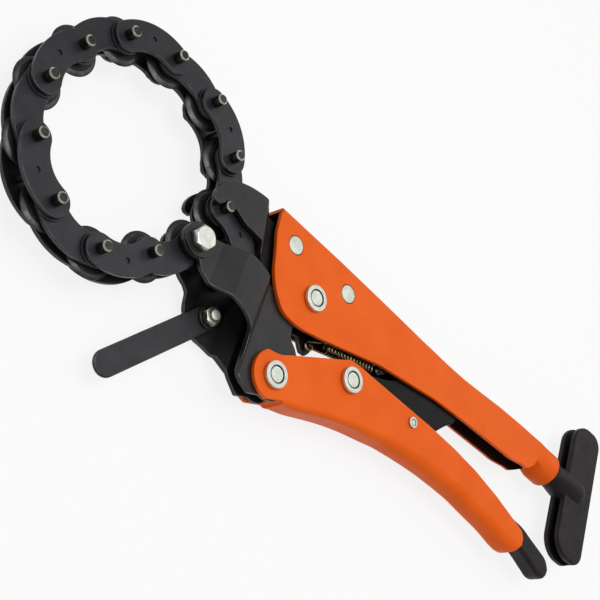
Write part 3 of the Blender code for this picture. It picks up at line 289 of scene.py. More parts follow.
# Each finish: its name, its two colours, its lowest and highest roughness, its share of metal,
# its specular level, the sizes of its patches and of its grain in mm, and the grain's height in um
FINISHES = (
    ("orange_coat", (0.86, 0.122, 0.009), (0.92, 0.142, 0.012), 0.34, 0.44, 0, 0.08, 18, 0.9, 10),
    # The inside of the coated channels is painted near black: painted shade in their deep hollows.
    ("inside_painted_shade", (0.02, 0.008, 0.005), (0.04, 0.012, 0.006), 0.45, 0.6, 0, 0.1, 14, 0.9, 12),
    ("black_oxide", (0.015, 0.014, 0.014), (0.025, 0.023, 0.023), 0.32, 0.44, 0.3, 0.4, 12, 0.7, 8),
    ("oxide_edge", (0.045, 0.042, 0.036), (0.13, 0.12, 0.1), 0.3, 0.45, 0.8, 0.5, 4, 0.5, 6),
    ("blued_steel", (0.017, 0.017, 0.021), (0.028, 0.028, 0.034), 0.32, 0.44, 0.3, 0.4, 10, 0.6, 6),
    ("blued_edge", (0.035, 0.035, 0.038), (0.09, 0.09, 0.088), 0.3, 0.42, 0.8, 0.5, 4, 0.5, 6),
    ("dark_steel", (0.01, 0.01, 0.01), (0.018, 0.018, 0.018), 0.42, 0.56, 0, 0.2, 6, 0.6, 6),
    ("pin_steel", (0.03, 0.028, 0.02), (0.06, 0.056, 0.042), 0.28, 0.42, 0.85, 0.5, 3, 0.5, 6),
    ("pin_rim", (0.55, 0.53, 0.48), (0.85, 0.83, 0.78), 0.25, 0.4, 1, 0.5, 2, 0.5, 6),
    ("zinc", (0.52, 0.52, 0.48), (0.68, 0.68, 0.63), 0.24, 0.36, 1, 0.5, 4, 0.6, 8),
    ("nickel", (0.56, 0.59, 0.52), (0.7, 0.72, 0.65), 0.4, 0.52, 0.9, 0.5, 3, 0.6, 6),
    # The rivet head's groove is painted dark: painted shade in the recess.
    ("groove_painted_shade", (0.1, 0.1, 0.09), (0.2, 0.19, 0.17), 0.35, 0.5, 0.9, 0.5, 2, 0.5, 6),
    ("spring_steel", (0.2, 0.15, 0.08), (0.44, 0.36, 0.21), 0.22, 0.34, 1, 0.5, 4, 0.6, 5),
    ("nut_steel", (0.34, 0.36, 0.29), (0.52, 0.54, 0.45), 0.22, 0.34, 1, 0.5, 3, 0.6, 8),
    ("toggle_black", (0.004, 0.004, 0.004), (0.008, 0.008, 0.008), 0.22, 0.36, 0, 0.08, 12, 0.7, 6),
    ("moulded_black", (0.013, 0.01, 0.01), (0.021, 0.016, 0.017), 0.42, 0.56, 0, 0.2, 10, 0.6, 20),
)

# Each look: the record's slot, a piece's own finish, and that of its edges, or painted shade for
# its inside or its groove
LOOKS = {
    # The coat's inside takes painted shade.
    "coat": ("orange_coat", "orange_coat", "inside_painted_shade"),
    "oxide": ("black_oxide", "black_oxide", "oxide_edge"),
    "ring": ("black_oxide", "black_oxide"),
    "toggle": ("black_oxide", "toggle_black"),
    "wheel": ("black_oxide", "dark_steel", "blued_edge"),
    "blued": ("blued_steel", "blued_steel", "blued_edge"),
    "pin": ("blued_steel", "pin_steel", "pin_rim"),
    # The rivet head's groove takes painted shade.
    "rivet": ("bright_steel", "nickel", "groove_painted_shade"),
    "nickel": ("bright_steel", "nickel"),
    "post": ("bright_steel", "pin_steel"),
    "zinc": ("bright_steel", "zinc"),
    "nut": ("bright_steel", "nut_steel"),
    "spring": ("bright_steel", "spring_steel"),
    "moulded": ("moulded_black", "moulded_black"),
}


def spot(shares):
    """A plan point from its two shares of HALF_HANDLE."""
    return Vector((shares[0] * HALF_HANDLE, shares[1] * HALF_HANDLE))


def spots(table):
    return [spot(shares) for shares in table]


def lengths(shares):
    return [share * HALF_HANDLE for share in shares]


def arc(centre, radius, start, end, count):
    """Points on a circle from one angle to another, in degrees."""
    points = []
    for step in range(count + 1):
        angle = math.radians(start + (end - start) * step / count)
        points.append(centre + Vector((math.cos(angle), math.sin(angle))) * radius)
    return points


def circle(centre, radius, sides=ROUND_SIDES):
    return arc(centre, radius, 0, 360, sides)[:-1]


def along(start, heading, distance):
    """The plan point at a distance from another in a heading in degrees."""
    angle = math.radians(heading)
    return start + Vector((math.cos(angle), math.sin(angle))) * distance


def area_of(points):
    """The area inside a closed line, positive where it runs anticlockwise."""
    pairs = zip(points, points[1:] + points[:1])
    return sum(a.x * b.y - b.x * a.y for a, b in pairs) / 2


def interpolate(table, value):
    if value <= table[0][0]:
        return table[0][1]
    for (x0, y0), (x1, y1) in zip(table, table[1:]):
        if value <= x1:
            return y0 + (y1 - y0) * (value - x0) / (x1 - x0)
    return table[-1][1]


def curved(points, closed=False, spacing=LINE_SPACING, per_segment=None, corner=SHARP_CORNER):
    """A dense line through points, smooth everywhere except at its sharp corners."""
    count = len(points)
    tangents = []
    for index, point in enumerate(points):
        tangent = None
        if closed or 0 < index < count - 1:
            back = point - points[index - 1]
            ahead = points[(index + 1) % count] - point
            if back.angle(ahead) <= math.radians(corner):
                weighted = back.normalized() * ahead.length + ahead.normalized() * back.length
                tangent = weighted.normalized()
        tangents.append(tangent)
    line = []
    for index in range(count if closed else count - 1):
        following = (index + 1) % count
        first, last = points[index], points[following]
        span = last - first
        straight = span.normalized()
        pull = min(span.length, LONGEST_PULL) if per_segment is None else span.length
        share = pull / span.length
        steps = per_segment or max(1, round(span.length / spacing))
        leave = (tangents[index] or straight) * pull
        arrive = (tangents[following] or straight) * pull
        for step in range(steps):
            t = step / steps
            away, home = min(1.0, t / share), min(1.0, (1 - t) / share)
            line.append(
                first.lerp(last, t) + (leave - straight * pull) * (away * (1 - away) ** 2)
                - (arrive - straight * pull) * (home * (1 - home) ** 2)
            )
    return line if closed else line + [points[-1]]


def rim_of(web, table):
    """The dense line from a web's last point through a table of shares to its first point."""
    return curved([web[-1]] + spots(table) + [web[0]])


def eased(points, radius, closed=True, corner=SHARP_CORNER):
    """A line with each sharp corner replaced by three points of a small curve."""
    count = len(points)
    line = []
    for index, point in enumerate(points):
        before = points[index - 1] - point
        after = points[(index + 1) % count] - point
        inner = closed or 0 < index < count - 1
        if inner and math.degrees(before.angle(after)) < 180 - corner:
            reach = min(radius, CORNER_REACH * min(before.length, after.length))
            start = point + before.normalized() * reach
            end = point + after.normalized() * reach
            line += [start, (start + point * 2 + end) / 4, end]
        else:
            line.append(point)
    return line


def left_of(step):
    return Vector((-step.y, step.x)).normalized()


def inset_directions(points, modes):
    """For each point of a closed line, the way and the rate in which its inset moves it.

    Mode 0 mitres the two edges, 1 uses the edge that leaves and -1 the edge that arrives.
    """
    directions = []
    count = len(points)
    for index, point in enumerate(points):
        arrives = left_of(point - points[index - 1])
        leaves = left_of(points[(index + 1) % count] - point)
        if modes[index] > 0:
            directions.append(leaves)
        elif modes[index] < 0:
            directions.append(arrives)
        else:
            mitre = (arrives + leaves).normalized()
            directions.append(mitre / max(mitre.dot(arrives), MITRE_LIMIT))
    return directions


def mesh_from(name, work):
    bmesh.ops.remove_doubles(work, verts=work.verts, dist=MERGE / 10)
    bmesh.ops.dissolve_degenerate(work, dist=MERGE / 10, edges=work.edges)
    bmesh.ops.recalc_face_normals(work, faces=work.faces)
    mesh = bpy.data.meshes.new(name)
    work.to_mesh(mesh)
    work.free()
    return mesh


def rounded_box(left, right, low, high, radii, count):
    """A box's outline, anticlockwise from its right high corner, with a radius for each one."""
    points = []
    corners = ((right, high), (left, high), (left, low), (right, low))
    for number, ((x, y), radius) in enumerate(zip(corners, radii)):
        centre = Vector((
            x - radius if x == right else x + radius, y - radius if y == high else y + radius,
        ))
        points += arc(centre, radius, 90 * number, 90 * number + 90, count)
    return points


def skinned(work, rings, second=()):
    """Faces from each ring of vertices to the next; the steps in second take that material."""
    for step, (lower, upper) in enumerate(zip(rings, rings[1:])):
        for index in range(len(lower)):
            following = (index + 1) % len(lower)
            face = work.faces.new((lower[index], lower[following], upper[following], upper[index]))
            face.material_index = 1 if step in second else 0


def plate(outline, low, high, holes=(), rounds=EDGE_ROUND, modes=None, steps=3):
    """A plate with rounded edges: an outline, its holes and two heights.

    rounds is one radius for every edge, or one for each point of the outline. The faces of
    the rounded edges take the second material.
    """
    if not isinstance(rounds, list):
        rounds = [rounds] * len(outline)
    modes = modes or [0] * len(outline)
    if area_of(outline) < 0:
        outline, rounds, modes = outline[::-1], rounds[::-1], [-mode for mode in modes[::-1]]
    loops = [(outline, rounds, inset_directions(outline, modes))]
    for hole in holes:
        hole = hole if area_of(hole) < 0 else hole[::-1]
        level = [0] * len(hole)
        loops.append((hole, [EDGE_ROUND / 2] * len(hole), inset_directions(hole, level)))
    work = bmesh.new()
    angles = [math.radians(90 * step / steps) for step in range(steps + 1)]
    rounded = [step for step in range(2 * steps + 1) if step != steps]
    stacks = []
    for points, radii, directions in loops:
        rings = []
        for side, base, turns in ((-1, low, angles[::-1]), (1, high, angles)):
            for angle in turns:
                ring = []
                for point, radius, direction in zip(points, radii, directions):
                    inset = point + direction * (radius * (1 - math.cos(angle)))
                    height = base - side * radius * (1 - math.sin(angle))
                    ring.append(work.verts.new((*inset, height)))
                rings.append(ring)
        skinned(work, rings, rounded)
        stacks.append(rings)
    for end, flip in ((0, True), (-1, False)):
        ends = [rings[end] for rings in stacks]
        flat = [vertex for ring in ends for vertex in ring]
        lines = [[Vector((vertex.co.x, vertex.co.y, 0)) for vertex in ring] for ring in ends]
        for corners in tessellate_polygon(lines):
            a, b, c = (flat[corner] for corner in corners)
            turn = (b.co - a.co).cross(c.co - a.co).z
            if abs(turn) > 0:
                work.faces.new((a, b, c) if (turn > 0) != flip else (a, c, b))
    return mesh_from("plate", work)


def ringed(name, rows, closed=False, edge_and_shade_steps=()):
    """A solid skinned over rows of points, capped at both ends unless it closes on itself."""
    work = bmesh.new()
    rings = [[work.verts.new(point) for point in row] for row in rows]
    skinned(work, rings + rings[:1] if closed else rings, edge_and_shade_steps)
    if not closed:
        work.faces.new(rings[0])
        work.faces.new(rings[-1])
    return mesh_from(name, work)


def turned(profile, centre=(0, 0), closed=False, sides=ROUND_SIDES, edge_and_shade_steps=()):
    """A profile of radius and height turned about an upright line, capped where it is open.

    The listed steps take the second material: brighter pin and wheel edges, painted shade in rivet
    grooves.
    """
    angles = [math.tau * side / sides for side in range(sides)]
    rows = []
    for radius, height in profile:
        rows.append([
            (centre[0] + radius * math.cos(angle), centre[1] + radius * math.sin(angle), height)
            for angle in angles
        ])
    return ringed("turned", rows, closed, edge_and_shade_steps)


def softened(profile, radius, closed=False):
    """A profile with its corners rounded, as pairs of radius and height."""
    line = eased([Vector(pair) for pair in profile], radius, closed=closed, corner=20.0)
    return [(point.x, point.y) for point in line]


def rod(centre, radius, low, high, sides=ROUND_SIDES):
    return turned([(radius, low), (radius, high)], centre, sides=sides)


def slab(points, low, high):
    """A plain plate with square edges, used to cut others."""
    return plate(points, low, high, rounds=0.0, steps=1)


def along_x(mesh, start_x):
    """Lay a mesh that was turned about Z along the screw's axis, from its start."""
    turn = Matrix.Rotation(math.radians(90), 4, "Y")
    mesh.transform(Matrix.Translation((start_x, SCREW_AXIS_Y, 0)) @ turn)
    return mesh


def mirrored(mesh):
    """The same mesh on the other side of the middle plane."""
    twin = mesh.copy()
    twin.transform(Matrix.Diagonal((1, 1, -1, 1)))
    twin.flip_normals()
    return twin


def joined(meshes):
    work = bmesh.new()
    for mesh in meshes:
        work.from_mesh(mesh)
    result = bpy.data.meshes.new("joined")
    work.to_mesh(result)
    work.free()
    return result


def painted(mesh, index, place=None):
    """The mesh with one material index on all its faces, or on those beyond a place on X."""
    work = bmesh.new()
    work.from_mesh(mesh)
    if place is not None:
        cut_across(work, place, Vector((1, 0, 0)))
    for face in work.faces:
        beyond = place is None or face.calc_center_median().x > place
        face.material_index = index if beyond else 0
    work.to_mesh(mesh)
    work.free()
    return mesh


def pillar(centre, radius, top, bottom, soften, core=CORE_RADIUS):
    """A round bar with softened ends, its profile begun just off the axis."""
    profile = [(core, top), (radius, top), (radius, bottom), (core, bottom)]
    return turned(softened(profile, soften), centre)


def stand(name, data):
    """A new object in the scene."""
    made = bpy.data.objects.new(name, data)
    bpy.context.scene.collection.objects.link(made)
    return made


def combined(mesh, others, operation="DIFFERENCE"):
    """A mesh with others cut from it, added to it or shared with it."""
    holder = stand("holder", mesh)
    tools = [stand("tool", other) for other in others]
    for tool in tools:
        modifier = holder.modifiers.new("combine", "BOOLEAN")
        modifier.operation = operation
        modifier.solver = "EXACT"
        modifier.object = tool
    graph = bpy.context.evaluated_depsgraph_get()
    graph.update()
    result = bpy.data.meshes.new_from_object(holder.evaluated_get(graph))
    for thing in [holder] + tools:
        bpy.data.objects.remove(thing)
    return result


def narrowed(mesh):
    """Draw a mesh in or out across Z as the upper handle's width goes."""
    work = bmesh.new()
    work.from_mesh(mesh)
    for place, _ in HANDLE_WIDTHS[::2]:
        cut_across(work, place, Vector((1, 0, 0)))
    for vertex in work.verts:
        vertex.co.z *= interpolate(HANDLE_WIDTHS, vertex.co.x)
    work.to_mesh(mesh)
    work.free()
    return mesh


def cut_across(work, place, across):
    """Add a line of edges over a mesh, square to a direction, at a place on X."""
    geometry = list(work.verts) + list(work.edges) + list(work.faces)
    bmesh.ops.bisect_plane(work, geom=geometry, plane_co=(place, 0, 0), plane_no=across, dist=MERGE)


def offset_line(points, distance):
    """An open line moved sideways, to its left where the distance is positive."""
    result = []
    for index, point in enumerate(points):
        before = points[max(index - 1, 0)]
        after = points[min(index + 1, len(points) - 1)]
        first = (point - before) if index else (after - point)
        last = (after - point) if index < len(points) - 1 else first
        lefts = [left_of(step) for step in (first, last)]
        mitre = (lefts[0] + lefts[1]).normalized()
        result.append(point + mitre * (distance / max(mitre.dot(lefts[0]), MITRE_LIMIT)))
    return result


def bend_line(bends, faces):
    """The middle of a bent sheet as a dense line of place and height, its bends rounded."""
    outer = [Vector(pair) for pair in zip(bends, faces)]
    level = Vector((HALF_HANDLE, 0))
    middle = offset_line([outer[0] - level] + outer + [outer[-1] + level], -JAW_SHEET / 2)
    line = [middle[0]]
    for before, corner, after in zip(middle, middle[1:], middle[2:]):
        back, ahead = (before - corner), (after - corner)
        half = (math.pi - back.angle(ahead)) / 2
        reach = min(JOGGLE_RADIUS * math.tan(half), BEND_REACH * min(back.length, ahead.length))
        start, end = corner + back.normalized() * reach, corner + ahead.normalized() * reach
        for step in range(7):
            t = step / 6
            line.append(start * (1 - t) ** 2 + corner * (2 * t * (1 - t)) + end * t ** 2)
    line.append(middle[-1])
    return line


def joggled(mesh, bends, faces, slant, side):
    """A flat sheet between -JAW_SHEET and 0, bent across at the places given."""
    middle = bend_line(bends, faces)
    outer = offset_line(middle, JAW_SHEET / 2)
    inner = offset_line(middle, -JAW_SHEET / 2)
    work = bmesh.new()
    work.from_mesh(mesh)
    across = Vector((1, slant, 0)).normalized()
    for point in outer[1:-1] + inner[1:-1]:
        cut_across(work, point.x, across)
    for vertex in work.verts:
        place = vertex.co.x + slant * vertex.co.y
        depth = -vertex.co.z / JAW_SHEET
        top = interpolate(outer, place)
        vertex.co.z = side * (top + (interpolate(inner, place) - top) * depth)
    return mesh_from("joggled", work)


def folded(fold, rim, half_width, bend, rim_round=EDGE_ROUND, holes=(), steps=5):
    """A folded channel before it is hollowed: wide rounded folds, and a rim with small ones.

    bend is one radius, or pairs of a place along X as a share and a radius. Where the rim turns
    off from the fold it starts inside the fold, and where it goes straight on the bend runs out.
    """
    table = [(0, bend)]
    if isinstance(bend, tuple):
        table = [(share * HALF_HANDLE, radius) for share, radius in bend]
    bends = [interpolate(table, point.x) for point in fold]
    side = math.copysign(1, area_of(fold + rim))
    rim = list(rim)
    for end, neighbour, first, second in ((-1, -2, 0, 1), (0, 1, -1, -2)):
        if (rim[first] - fold[end]).length > MERGE:
            continue
        ahead = fold[end] - fold[neighbour]
        if ahead.angle(rim[second] - fold[end]) > math.radians(45):
            step = ahead if end else -ahead
            rim[first] = fold[end] + left_of(step) * (side * bends[end])
            continue
        rim.pop(first)
        for index, point in enumerate(fold):
            share = min(1.0, (point - fold[end]).length / RUN_OUT)
            bends[index] = rim_round + (bends[index] - rim_round) * share * share * (3 - 2 * share)
    rounds = bends + [rim_round] * len(rim)
    modes = [1] + [0] * (len(fold) - 2) + [-1] + [0] * len(rim)
    return plate(fold + rim, -half_width, half_width, holes, rounds, modes, steps)


def cavity_over(web, sheet, shares):
    """The hollow of a channel whose web lies below it, cut right through past the web's ends.

    The shares give the hollow's front, rear, low and high limits.
    """
    front, rear, low, high = lengths(shares)
    inner = offset_line(web, sheet)
    outline = [Vector((front, low)), Vector((inner[0].x, low))] + inner
    if inner[-1].x < rear:
        outline += [Vector((inner[-1].x, low)), Vector((rear, low)), Vector((rear, high))]
    else:
        outline.append(Vector((inner[-1].x, high)))
    outline.append(Vector((front, high)))
    return outline


def plug(tree, node, settings):
    """Set a node's inputs, and link those for which another node's output is given."""
    for name, value in settings.items():
        if isinstance(value, bpy.types.NodeSocket):
            tree.links.new(value, node.inputs[name])
        else:
            node.inputs[name].default_value = value
    return node


def worked(tree, operation, first, second):
    """The output of a sum on two values."""
    node = tree.nodes.new("ShaderNodeMath")
    node.operation = operation
    return plug(tree, node, {0: first, 1: second}).outputs["Value"]


def noise(tree, place, size, detail):
    """A noise whose features have about the size given, in metres."""
    field = tree.nodes.new("ShaderNodeTexNoise")
    plug(tree, field, {"Vector": place, "Scale": 1 / size, "Detail": detail})
    return field.outputs["Fac"]


def ramp(tree, value, colours):
    node = tree.nodes.new("ShaderNodeValToRGB")
    for element, position, colour in zip(node.color_ramp.elements, RAMP_ENDS, colours):
        element.position = position
        element.color = (*colour, 1)
    return plug(tree, node, {"Fac": value}).outputs["Color"]


def spread(tree, value, low, high):
    """The middle of a noise's range spread over another range."""
    node = tree.nodes.new("ShaderNodeMapRange")
    plug(tree, node, {
        "Value": value, "From Min": SPREAD_ENDS[0], "From Max": SPREAD_ENDS[1],
        "To Min": low, "To Max": high,
    })
    return node.outputs["Result"]


def finish(name, dark, light, glossy, rough, metallic, specular, patch, grain, relief):
    """A surface whose colour varies in broad patches, with finer variation of gloss and height."""
    patch, grain, relief = patch / 1000, grain / 1000, relief / 1000000
    made = bpy.data.materials.new(name)
    made.use_nodes = True
    tree = made.node_tree
    place = tree.nodes.new("ShaderNodeTexCoord").outputs["Object"]
    broad = noise(tree, place, patch, 4.0)
    middle = noise(tree, place, (patch * grain) ** 0.5, 3.0)
    bump = tree.nodes.new("ShaderNodeBump")
    plug(tree, bump, {
        "Strength": 1.0, "Distance": relief, "Height": noise(tree, place, grain, 2.0),
    })
    plug(tree, tree.nodes["Principled BSDF"], {
        "Metallic": metallic, "Specular IOR Level": specular,
        "Base Color": ramp(tree, broad, (dark, light)),
        "Roughness": spread(tree, middle, glossy, rough), "Normal": bump.outputs["Normal"],
    })
    return made


MATERIALS = {values[0]: finish(*values) for values in FINISHES}

MAIN_PIVOT = spot(MAIN_PIVOT_SHARES)
LEVER_PIVOT = spot(LEVER_PIVOT_SHARES)
TOGGLE_PIVOT = spot(TOGGLE_PIVOT_SHARES)
NOSE = spot(NOSE_SHARES)
RELEASE_PIVOT = spot(RELEASE_PIVOT_SHARES)
ANCHOR = spot(ANCHOR_SHARES)
GUIDE_BOLT = spot(GUIDE_BOLT_SHARES)
SPRING_POST = spot(SPRING_POST_SHARES)
SPRING_PEG = spot(SPRING_PEG_SHARES)
FLUSH_RIVETS = {
    "front_jaw_rivet": spot(FRONT_RIVET_SHARES), "rear_jaw_rivet": spot(REAR_RIVET_SHARES),
}

INNER_PLATE_LOW = WHEEL_HUB_HALF + GAP
INNER_PLATE_HIGH = INNER_PLATE_LOW + PLATE_SHEET
BOSS_LOW = INNER_PLATE_HIGH + GAP
OUTER_PLATE_LOW = BOSS_LOW + BOSS_HEIGHT
OUTER_PLATE_HIGH = OUTER_PLATE_LOW + PLATE_SHEET
CHANNEL_HALF = HANDLE_HALF_WIDTH - HANDLE_SHEET
NECK_FACE = CHANNEL_HALF - GAP
TANG_FACE = NECK_FACE - JAW_SHEET - GAP
HEAD_SEAT = HANDLE_HALF_WIDTH + GAP
HOLE_RADIUS = PIN_RADIUS + GAP
ANCHOR_SEAT = CHEEK_FACE + GAP
ANCHOR_HEAD_LOW = ANCHOR_SEAT + ANCHOR_WASHER_SHEET + GAP
ANCHOR_HEAD_HIGH = ANCHOR_HEAD_LOW + ANCHOR_HEX_HEIGHT
SCREW_AXIS_Y = SCREW_AXIS_SHARE * HALF_HANDLE
TUBE_END = TUBE_END_SHARE * HALF_HANDLE
NOSE_RADIUS = LINKAGE_HALF_WIDTH
SCREW_TIP = NOSE.x + NOSE_RADIUS + NOSE_CLEARANCE

HANDLE_ROOF = curved(spots(HANDLE_ROOF_SHARES), spacing=ROOF_SPACING)
HANDLE_RIM = curved(spots(HANDLE_RIM_SHARES))
SOCKET_RIM = sorted([point for point in HANDLE_RIM if point.x > 0], key=lambda point: point.x)
HANDLE_WIDTHS = [
    (point.x, point.y / HANDLE_HALF_WIDTH) for point in curved([
        Vector((place * HALF_HANDLE, width * HANDLE_HALF_WIDTH))
        for place, width in HANDLE_WIDTH_SHARES
    ], per_segment=8)
]

LINK_ENDS = (Vector((0, 0)), Vector((CHAIN_PITCH, 0)))
CHAIN_JOINTS = [ANCHOR]
for heading in LINK_HEADINGS:
    CHAIN_JOINTS.append(along(CHAIN_JOINTS[-1], heading, CHAIN_PITCH))

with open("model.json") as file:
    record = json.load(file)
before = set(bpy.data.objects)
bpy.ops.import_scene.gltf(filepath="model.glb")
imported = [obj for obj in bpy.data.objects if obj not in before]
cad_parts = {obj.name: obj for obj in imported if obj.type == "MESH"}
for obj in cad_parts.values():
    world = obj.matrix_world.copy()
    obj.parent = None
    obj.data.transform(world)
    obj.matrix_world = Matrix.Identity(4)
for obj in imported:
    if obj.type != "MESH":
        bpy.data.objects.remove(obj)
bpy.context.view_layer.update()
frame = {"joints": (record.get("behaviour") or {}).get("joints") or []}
pivots = {joint["name"]: Vector(joint["pos_m"]) for joint in frame["joints"] if "pos_m" in joint}
DATUM = pivots["jaw_open"] - Vector((MAIN_PIVOT.x, MAIN_PIVOT.y, 0))


def declare(piece, body, look, node):
    """Give a piece its materials, hang it on its body, and hide the CAD node it stands for."""
    slot, *labels = LOOKS[look]
    for label in labels:
        piece.data.materials.append(MATERIALS[label])
    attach(piece, body)
    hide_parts(node)


def show(name, mesh, body, look, node):
    """Stand a finished mesh, built about the datum, for a CAD node."""
    mesh.transform(Matrix.Translation(DATUM))
    mesh.shade_smooth()
    mesh.set_sharp_from_angle(angle=SMOOTH_ANGLE)
    piece = stand(name, mesh)
    weighted = piece.modifiers.new("flat_faces", "WEIGHTED_NORMAL")
    weighted.keep_sharp = True
    weighted.weight = FLAT_FACE_WEIGHT
    declare(piece, body, look, node)


def make_upper_handle():
    roof, rim = [
        [point for point in line if point.x < SOCKET_START - MERGE]
        for line in (HANDLE_ROOF, HANDLE_RIM)
    ]
    roof.append(Vector((SOCKET_START, interpolate(HANDLE_ROOF, SOCKET_START))))
    rim = [Vector((SOCKET_START, interpolate(SOCKET_RIM, SOCKET_START)))] + rim + [roof[0]]
    holes = [circle(place, FLUSH_RIVET_RADIUS + GAP) for place in FLUSH_RIVETS.values()]
    shell = narrowed(folded(roof, rim, HANDLE_HALF_WIDTH, FOLD_ROUND, holes=holes))
    ceiling = offset_line(roof, -HANDLE_SHEET)
    ahead, _, low = lengths(HANDLE_CAVITY_SHARES)
    front, rear = ceiling[0].x - ahead, SOCKET_START + OVERRUN
    cavity = [Vector((front, ceiling[0].y))] + ceiling
    cavity += [Vector((rear, ceiling[-1].y)), Vector((rear, low)), Vector((front, low))]
    # Its faces take the second material: painted shade inside the handle's channel.
    hollow = painted(narrowed(slab(cavity, -CHANNEL_HALF, CHANNEL_HALF)), 1)
    shell = combined(painted(shell, 0), [hollow])
    show("handle_shell", shell, "frame", "coat", "upper_handle")
    show("handle_socket", handle_socket(), "frame", "coat", "upper_handle")


def socket_section():
    """The handle's outline across X where its socket starts, as pairs of Z and Y."""
    width, bottom, top = socket_frame(SOCKET_START)
    radii = (FOLD_ROUND, FOLD_ROUND, EDGE_ROUND, EDGE_ROUND)
    points = rounded_box(-width, width, bottom, top, radii, 5)
    line = []
    for index, point in enumerate(points):
        following = points[(index + 1) % len(points)]
        steps = max(1, round((following - point).length / SECTION_SPACING))
        line += [point.lerp(following, step / steps) for step in range(steps)]
    return line


def handle_socket():
    """The rear of the handle, where its channel is drawn into the round tube for the screw."""
    template = socket_section()
    first, last = SOCKET_BLEND
    rings = []
    for step in range(SOCKET_RINGS + 1):
        place = SOCKET_START + (last - SOCKET_START) * step / SOCKET_RINGS
        share = max(0.0, (place - first) / (last - first))
        ring = socket_ring(template, place, share * share * (3 - 2 * share))
        if not rings:
            rings.append([(place - OVERRUN / 4, y * SOCKET_LAP, z * SOCKET_LAP) for z, y in ring])
        rings.append([(place, y, z) for z, y in ring])
    for back, inset in (
        (TUBE_CHAMFER + EDGE_ROUND, 0), (TUBE_CHAMFER, EDGE_ROUND / 4),
        (EDGE_ROUND, TUBE_CHAMFER), (0, TUBE_CHAMFER + EDGE_ROUND),
    ):
        place, share = TUBE_END - back, 1 - inset / TUBE_RADIUS
        rings.append([
            (place, SCREW_AXIS_Y + (y - SCREW_AXIS_Y) * share, z * share)
            for z, y in socket_ring(template, place, 1.0)
        ])
    inside = CHANNEL_HALF * interpolate(HANDLE_WIDTHS, SOCKET_START)
    _, rear, low = lengths(HANDLE_CAVITY_SHARES)
    mouth = SOCKET_START - 2 * OVERRUN
    outline = [Vector((mouth, inside)), Vector((mouth, -inside))]
    outline += arc(Vector((rear - inside, 0)), inside, -90, 90, 24)
    slot = slab(outline, low, interpolate(HANDLE_ROOF, SOCKET_START) - HANDLE_SHEET)
    slot.transform(Matrix.Rotation(math.radians(-90), 4, "X"))
    # The slot's faces take the second material: painted shade inside the socket.
    return combined(painted(ringed("socket", rings), 0), [painted(slot, 1)])


def socket_ring(template, place, blend):
    """The template section moved to another place, so that every ring has the same points."""
    first = socket_frame(SOCKET_START)
    here = socket_frame(place)
    ring = []
    for point in template:
        across = point.x / first[0] * here[0]
        rise = (point.y - first[1]) / (first[2] - first[1]) * (here[2] - here[1]) + here[1]
        middle, half = (here[1] + here[2]) / 2, (here[2] - here[1]) / 2
        angle = math.atan2((rise - middle) / half, across / here[0])
        rounded = (TUBE_RADIUS * math.cos(angle), SCREW_AXIS_Y + TUBE_RADIUS * math.sin(angle))
        ring.append((
            across + (rounded[0] - across) * blend, rise + (rounded[1] - rise) * blend,
        ))
    return ring


def socket_frame(place):
    """The channel's half width, rim and roof at a place."""
    return (
        interpolate(HANDLE_WIDTHS, place) * HANDLE_HALF_WIDTH,
        interpolate(SOCKET_RIM, place), interpolate(HANDLE_ROOF, place),
    )


def make_lower_lever():
    web = curved(spots(LEVER_WEB_SHARES), spacing=FOLD_SPACING)
    ear = arc(LEVER_PIVOT, LEVER_EAR_SHARE * HALF_HANDLE, *LEVER_EAR_ARC, 30)
    rim = curved([web[-1]] + spots(LEVER_RIM_SHARES) + [ear[0]]) + ear[1:] + [web[0]]
    blank = painted(folded(web, rim, HANDLE_HALF_WIDTH, LEVER_BENDS), 0)
    hollow = slab(cavity_over(web, HANDLE_SHEET, LEVER_CAVITY_SHARES), -CHANNEL_HALF, CHANNEL_HALF)
    # Past this place the hollow's faces take painted shade inside the lever's channel.
    hollow = painted(hollow, 1, LEVER_PAINTED_SHADE_SHARE * HALF_HANDLE)
    start, end = spots(LEVER_RELIEF_SHARES)
    along_relief = (end - start).normalized()
    aside = left_of(along_relief) * LEVER_RELIEF_RADIUS
    heading = math.degrees(math.atan2(along_relief.y, along_relief.x))
    relief = [start + aside, start - aside]
    relief += arc(end, LEVER_RELIEF_RADIUS, heading - 90, heading + 90, 12)
    reach = HANDLE_HALF_WIDTH + OVERRUN
    tools = (slab(relief, -reach, reach), front_of_tongue(start, end, reach))
    lever = combined(blank, [hollow] + [painted(tool, 0) for tool in tools])
    show("lever_shell", lever, "lower_lever", "coat", "lower_lever")


def front_of_tongue(start, end, reach):
    """What is cut away under the relief slot to leave a round tongue at the web's front."""
    root, tip = lengths(LEVER_TONGUE_SHARES)
    front = start.x - OVERRUN
    outline = [Vector((front, reach)), Vector((front, -reach)), Vector((root, -reach))]
    for step in range(25):
        angle = math.radians(-90 + 180 * step / 24)
        bulge = (tip - root) * math.cos(angle)
        outline.append(Vector((root + bulge, HANDLE_HALF_WIDTH * math.sin(angle))))
    outline.append(Vector((root, reach)))
    across = slab(outline, start.y - 2 * OVERRUN, end.y + OVERRUN)
    across.transform(Matrix.Rotation(math.radians(-90), 4, "X"))
    low = Vector((0, -3 * OVERRUN))
    below = slab([start, start + low, end + low, end], -reach, reach)
    return combined(across, [below], "INTERSECT")


